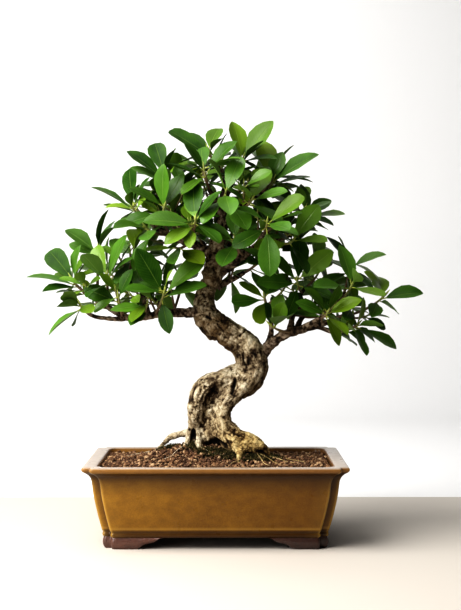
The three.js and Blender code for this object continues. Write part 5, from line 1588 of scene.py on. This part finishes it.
def leaf_material(name, deep, bright, fresh, rib_colour, roughness):
    """Green between two depths by the leaf's tone and mottling, lighter towards the edges as a painted rim
    highlight, and towards yellow where the leaf is young. A darker leaf is duller."""
    material, tree, shader = material_of(name)
    rib, veins, stalk, beside = vein_masks(tree)
    gloss = value_of(tree, "MULTIPLY_ADD", read(tree, "tone"), 0.32, 0.08)
    tree.links.new(gloss, shader.inputs["Specular IOR Level"])
    own_tone = value_of(tree, "MULTIPLY_ADD", read(tree, "tone"), 0.65, -0.12)
    tone = value_of(tree, "MULTIPLY_ADD", mottling(tree, 55.0, 1.6), 0.35, own_tone)
    # A painted rim highlight: the blade is lighter towards its edges.
    tone = value_of(tree, "MULTIPLY_ADD", beside, 0.35, tone, clamp=True)
    colour = mixed(tree, tone, deep, bright)
    colour = mixed(tree, read(tree, "young"), colour, fresh)
    colour = mixed(tree, value_of(tree, "MULTIPLY", veins, 0.1), colour, rib_colour)
    colour = mixed(tree, value_of(tree, "MULTIPLY", rib, 0.4), colour, rib_colour)
    colour = mixed(tree, value_of(tree, "MULTIPLY", stalk, 0.85), colour, (0.42, 0.46, 0.10))
    tree.links.new(colour, shader.inputs["Base Color"])
    worn_and_sheen = value_of(tree, "MULTIPLY_ADD", mottling(tree, 160.0, 1.5), 0.2, roughness - 0.1)
    tree.links.new(worn_and_sheen, shader.inputs["Roughness"])
    relief = value_of(tree, "MULTIPLY_ADD", rib, -0.5, value_of(tree, "MULTIPLY", veins, -0.1))
    bumped(tree, shader, relief, 0.0004)
    return material


LEAF_FACE = leaf_material("leaf_top", (0.009, 0.036, 0.004), (0.098, 0.225, 0.022), (0.20, 0.31, 0.02),
                          (0.20, 0.31, 0.05), 0.34)
LEAF_BACK = leaf_material("leaf_underside", (0.055, 0.120, 0.018), (0.10, 0.195, 0.030), (0.18, 0.29, 0.038),
                          (0.24, 0.34, 0.08), 0.6)


def twig_material():
    """Brown at the foot of a shoot, yellow-green at its end: the young mask grows along the twig."""
    material, tree, shader = material_of("green_wood", Roughness=0.6)
    grown = value_of(tree, "SUBTRACT", read(tree, "young"), 0.15)
    age = value_of(tree, "MULTIPLY_ADD", mottling(tree, 120.0, 2.0), 0.3, grown)
    colour = ramp(tree, age, [
        (0.0, (0.15, 0.09, 0.055)), (0.35, (0.20, 0.14, 0.07)), (0.6, (0.24, 0.27, 0.08)),
        (0.95, (0.40, 0.46, 0.10))])
    tree.links.new(colour, shader.inputs["Base Color"])
    bumped(tree, shader, wrinkles(tree, 300.0, 0.06), -0.0003)
    return material


GREEN_WOOD = twig_material()

# %% [markdown]
# The glaze is honey-amber and runs: thick and dark where it pools at the foot, thin and pale where it breaks
# over edges. Painted shade darkens it under the lip, on the foot ring and towards the right, painted
# highlights lie on its edges and above the foot ring, and the rim's top carries a painted reflection. Under it
# lies red-brown clay, which shows on the feet and below. A coat on the shader gives the glassy gloss.

# %% Glaze and clay
def glaze_material():
    """Amber by slow clouds and fine flowing mottle, and darker towards the right as painted shade. Dark in the
    recess under the lip as painted shade, and dark on the foot ring, where the glaze is thick and painted
    shade is added. Above the ring a gold line is a painted highlight, and the rim's top is greyer: a painted
    reflection."""
    material, tree, shader = material_of("amber_glaze", **{
        "Specular IOR Level": 0.18, "Coat Weight": 0.3, "Coat Roughness": 0.1})
    object_place = node(tree, "ShaderNodeTexCoord").outputs["Object"]
    stretched = node(tree, "ShaderNodeMapping", {"Vector": object_place, "Scale": (0.8, 1.0, 1.2)})
    flow = {"Vector": stretched.outputs["Vector"], "Scale": 95.0, "Detail": 8.0}
    runs = node(tree, "ShaderNodeTexNoise", flow).outputs["Fac"]
    clouds = value_of(tree, "MULTIPLY_ADD", mottling(tree, 14.0, 1.6), 0.25, -0.13)
    tone = value_of(tree, "MULTIPLY_ADD", runs, 0.6, clouds)
    tone = value_of(tree, "MULTIPLY_ADD", mottling(tree, 700.0, 2.5), 0.22, tone)
    colour = ramp(tree, tone, [
        (0.0, (0.120, 0.053, 0.007)), (0.4, (0.230, 0.112, 0.012)), (0.75, (0.33, 0.172, 0.018)),
        (1.0, (0.46, 0.27, 0.04))])
    height = node(tree, "ShaderNodeSeparateXYZ", {"Vector": object_place}).outputs["Z"]

    def level(*stops):
        """A mask by height above the table: stops of (millimetres, value)."""
        share = value_of(tree, "DIVIDE", height, 100 * MM, clamp=True)
        return ramp(tree, share, [(z / 100, (value, value, value)) for z, value in stops])

    # The foot ring is dark: thick glaze, and painted shade from the table below.
    colour = mixed(tree, level((13, 0.8), (20.5, 0.75), (22.5, 0)), colour, (0.035, 0.014, 0.005))
    across = node(tree, "ShaderNodeSeparateXYZ", {"Vector": object_place}).outputs["X"]
    # Painted shade: the glaze is darker towards the right, away from the light.
    colour = mixed(tree, ranged(tree, across, -0.12, 0.13), colour, (0.52, 0.45, 0.36), "MULTIPLY")
    # A painted highlight: a gold line along the top of the foot ring's moulding.
    colour = mixed(tree, level((22, 0), (23, 0.4), (24.5, 0.3), (26, 0)), colour, (0.42, 0.25, 0.05))
    # Gold on the notch edges: thin glaze, which also stands for a painted highlight.
    colour = mixed(tree, value_of(tree, "MULTIPLY", read(tree, "worn_and_sheen"), 0.6), colour, (0.60, 0.37, 0.08))
    colour = mixed(tree, value_of(tree, "MULTIPLY", read(tree, "pooled"), 0.75), colour, (0.05, 0.021, 0.005))
    # Painted shade: dark in the recess under the lip.
    under_lip_shade = level((62, 0), (77, 0.45), (84, 0.85), (88.4, 0.85), (89.8, 0))
    colour = mixed(tree, under_lip_shade, colour, (0.035, 0.015, 0.005))
    colour = mixed(tree, level((89, 0), (90.5, 0.6), (93.6, 0.6), (94.6, 0)), colour, (0.22, 0.11, 0.04))
    # A painted reflection: the rim's top is pale grey.
    colour = mixed(tree, level((93.4, 0), (94.6, 0.9)), colour, (0.38, 0.31, 0.25))
    tree.links.new(colour, shader.inputs["Base Color"])
    rough = value_of(tree, "MULTIPLY_ADD", mottling(tree, 60.0, 1.5), 0.2, 0.22)
    tree.links.new(rough, shader.inputs["Roughness"])
    bumped(tree, shader, value_of(tree, "ADD", runs, mottling(tree, 240.0, 1.0)), 0.0007, 0.5)
    return material


def clay_material():
    """Red-brown clay with darker clouds and small pores, and darker towards the right as painted shade."""
    material, tree, shader = material_of("bare_clay", **{
        "Roughness": 0.4, "Coat Weight": 0.5, "Coat Roughness": 0.1})
    colour = mixed(tree, mottling(tree, 45.0, 2.2), (0.055, 0.019, 0.011), (0.14, 0.055, 0.033))
    specks = pores(tree, 330.0, 0.25)
    colour = mixed(tree, value_of(tree, "MULTIPLY", specks, 0.6), colour, (0.05, 0.02, 0.014))
    object_place = node(tree, "ShaderNodeTexCoord").outputs["Object"]
    across = node(tree, "ShaderNodeSeparateXYZ", {"Vector": object_place}).outputs["X"]
    # Painted shade: the clay is darker towards the right, away from the light.
    colour = mixed(tree, ranged(tree, across, -0.08, 0.1), colour, (0.42, 0.40, 0.38), "MULTIPLY")
    tree.links.new(colour, shader.inputs["Base Color"])
    bumped(tree, shader, value_of(tree, "SUBTRACT", mottling(tree, 300.0, 1.5), specks), 0.0004)
    return material


GLAZE, CLAY = glaze_material(), clay_material()

# %% [markdown]
# Granules of baked clay range from dark brown through brick red to a dusty tan, and each stone has one of
# them. The bed below lies in their shade and is darker. Moss is almost black, with olive-brown tips.

# %% Soil, moss and mesh
def soil_material(name, shade):
    """A colour for each granule by its tone, dusted by mottling."""
    material, tree, shader = material_of(name, Roughness=0.9)
    colour = ramp(tree, read(tree, "tone"), [
        (0.0, (0.022, 0.008, 0.003)), (0.35, (0.085, 0.037, 0.015)), (0.6, (0.165, 0.085, 0.036)),
        (0.82, (0.32, 0.19, 0.095)), (1.0, (0.62, 0.44, 0.26))])
    colour = mixed(tree, 1.0, colour, (shade, shade, shade), "MULTIPLY")
    dust = value_of(tree, "MULTIPLY", mottling(tree, 500.0, 2.5), 0.35)
    colour = mixed(tree, dust, colour, (0.34 * shade, 0.19 * shade, 0.11 * shade))
    tree.links.new(colour, shader.inputs["Base Color"])
    bumped(tree, shader, mottling(tree, 1200.0, 2.0), 0.0004)
    return material


def moss_material():
    """Almost black moss with olive-brown tips."""
    material, tree, shader = material_of("moss", **{"Roughness": 0.9, "Specular IOR Level": 0.1})
    colour = ramp(tree, mottling(tree, 260.0, 3.0), [
        (0.0, (0.010, 0.009, 0.005)), (0.6, (0.040, 0.036, 0.014)), (1.0, (0.18, 0.14, 0.06))])
    tree.links.new(colour, shader.inputs["Base Color"])
    return material


def screen_material():
    """Dull black plastic, a little dusty."""
    material, tree, shader = material_of("screen_plastic", Roughness=0.6)
    colour = mixed(tree, mottling(tree, 200.0, 2.0), (0.012, 0.013, 0.012), (0.045, 0.04, 0.035))
    tree.links.new(colour, shader.inputs["Base Color"])
    bumped(tree, shader, mottling(tree, 800.0, 1.0), 0.0002)
    return material


GRANULES, BED = soil_material("granules", 1.0), soil_material("soil_bed", 0.12)
MOSS_GREEN, SCREEN = moss_material(), screen_material()

# %% Give every piece its material
keep_values(soil_bed.data, "tone", draw(np.arange(len(bed_points)), 2, 61))
for piece, material in ((trunk_bark, BARK), (branch_bark, BRANCH_BARK), (rootlets, BARK), (pot_feet, CLAY),
                        (soil_bed, BED), (soil_granules, GRANULES), (moss, MOSS_GREEN)):
    piece.data.materials.append(material)
for piece in foliage_pieces + side_pieces:
    for material in (GREEN_WOOD, LEAF_FACE, LEAF_BACK):
        piece.data.materials.append(material)
pot_glazed.data.materials.clear()
for material in (GLAZE, CLAY):
    pot_glazed.data.materials.append(material)
face_middle = np.zeros(len(pot_glazed.data.polygons) * 3, np.float32)
pot_glazed.data.polygons.foreach_get("center", face_middle)
bare = face_middle.reshape(-1, 3)[:, 2] < FOOT["top"] * MM
pot_glazed.data.polygons.foreach_set("material_index", bare.astype(np.int32))
for name in ("drain_screen_left", "drain_screen_right"):
    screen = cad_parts[name]
    screen.data.materials.clear()
    screen.data.materials.append(SCREEN)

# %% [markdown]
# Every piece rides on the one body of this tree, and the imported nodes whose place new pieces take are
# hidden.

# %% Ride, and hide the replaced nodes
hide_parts("trunk")
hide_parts("trunk")
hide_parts("pot")
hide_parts("pot")
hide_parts("soil")
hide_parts("soil")
for s, piece in enumerate(foliage_pieces, 1):
    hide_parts(f"shoot_{s:02d}")
for piece in (trunk_bark, branch_bark, rootlets, pot_glazed, pot_feet, soil_bed, soil_granules, moss,
              *foliage_pieces, *side_pieces):
    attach(piece, "root")

# %% [markdown]
# The camera stands where the photograph was taken from: level with the lower part of the crown, 1.7 metres
# from the middle of the pot, with a long lens. The room is a pale table and a pale floor that curves up into a
# wall, which is seen from the front alone, so a view from behind sees the tree. A large soft light stands
# at the upper left, with a weak one lower on the left, one above, and one on the wall.

# %% Camera
CAMERA = {"x": 17, "y": -1710, "z": 300, "down": 0.8, "focal_pixels": 1435, "long_side_pixels": 610}
camera = bpy.data.objects.new("camera", bpy.data.cameras.new("camera"))
bpy.context.scene.collection.objects.link(camera)
camera.location = placed([CAMERA["x"], CAMERA["y"], CAMERA["z"]])
camera.rotation_euler = (np.radians(90 - CAMERA["down"]), 0, 0)
camera.data.lens = CAMERA["focal_pixels"] * camera.data.sensor_width / CAMERA["long_side_pixels"]
bpy.context.scene.camera = camera

# %% Floor and wall
FLOOR = {"front": -2600, "edge": 317, "back": 1500, "half_width": 2600, "bend": 500, "height": 2600}


def sweep():
    """A sheet along Y: flat, then a quarter circle, then upright. Its first face is the table."""
    turn = np.linspace(0, np.pi / 2, 16)
    forward, up = FLOOR["bend"] * np.sin(turn), FLOOR["bend"] * (1 - np.cos(turn))
    curve = np.column_stack([FLOOR["back"] + forward, up])
    top = [FLOOR["back"] + FLOOR["bend"], FLOOR["height"]]
    line = np.vstack([[FLOOR["front"], 0], [FLOOR["edge"], 0], curve, top])
    points = np.array([[x, y, z] for y, z in line for x in (-FLOOR["half_width"], FLOOR["half_width"])])
    faces = [[2 * k, 2 * k + 1, 2 * k + 3, 2 * k + 2] for k in range(len(line) - 1)]
    return shown("backdrop", mesh_of("backdrop", placed(points), faces))


backdrop = sweep()
backdrop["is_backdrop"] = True
for name, colour in (("white_paint", (0.86, 0.86, 0.86, 1)), ("pale_table", (0.56, 0.52, 0.47, 1))):
    paint, paint_tree, paint_shader = material_of(name, Roughness=0.8)
    paint_shader.inputs["Base Color"].default_value = colour
    behind = node(paint_tree, "ShaderNodeNewGeometry").outputs["Backfacing"]
    one_sided = node(paint_tree, "ShaderNodeMixShader", {0: behind, 1: paint_shader.outputs["BSDF"]})
    paint_tree.links.new(node(paint_tree, "ShaderNodeBsdfTransparent").outputs["BSDF"], one_sided.inputs[2])
    paint_tree.links.new(one_sided.outputs["Shader"], paint_tree.nodes["Material Output"].inputs["Surface"])
    backdrop.data.materials.append(paint)
backdrop.data.polygons[0].material_index = 1

# %% Lights
LIGHTS = [
    {"name": "window", "at": [-850, -560, 1150], "size": 1300, "power": 36, "colour": (1.0, 0.98, 0.95)},
    {"name": "fill", "at": [-650, -800, 350], "size": 600, "power": 3.5, "colour": (1.0, 1.0, 1.0)},
    {"name": "top", "at": [-200, 0, 1500], "size": 1300, "power": 6, "colour": (1.0, 1.0, 1.0)},
    {"name": "wall_light", "at": [-700, 900, 1500], "size": 1600, "power": 10.5, "colour": (1.0, 1.0, 1.0)},
]
TREE_HEART = placed([0, 0, 260])
WALL_AIM = [0, -0.9, 0.5]  # from the wall back to its light
ROOM_LIGHT = 0.1
for spec in LIGHTS:
    data = bpy.data.lights.new(spec["name"], "AREA")
    data.size, data.energy, data.color = spec["size"] * MM, spec["power"], spec["colour"]
    light = bpy.data.objects.new(spec["name"], data)
    light.location = placed(spec["at"])
    aim = np.array(light.location) - TREE_HEART
    if spec["name"] == "wall_light":
        aim = np.array(WALL_AIM)
    from_above = np.arctan2(np.hypot(aim[0], aim[1]), aim[2])
    light.rotation_euler = (from_above, 0, np.arctan2(aim[1], aim[0]) + np.pi / 2)
    bpy.context.scene.collection.objects.link(light)

world = bpy.data.worlds.new("room")
bpy.context.scene.world = world
world.use_nodes = True
world.node_tree.nodes["Background"].inputs["Color"].default_value = (1.0, 1.0, 1.0, 1)
world.node_tree.nodes["Background"].inputs["Strength"].default_value = ROOM_LIGHT
bpy.context.scene.view_settings.view_transform = "Standard"
bpy.context.scene.view_settings.look = "High Contrast"

# %% [markdown]
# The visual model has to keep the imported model's size, so both boxes are written down and compared.

# %% Sizes
visual_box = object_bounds()
for axis, name in enumerate("XYZ"):
    low = (visual_box[0][axis] - cad_box[0][axis]) / MM
    high = (visual_box[1][axis] - cad_box[1][axis]) / MM
    print(f"{name}: the visual model's ends differ by {low:.1f} and {high:.1f} mm")
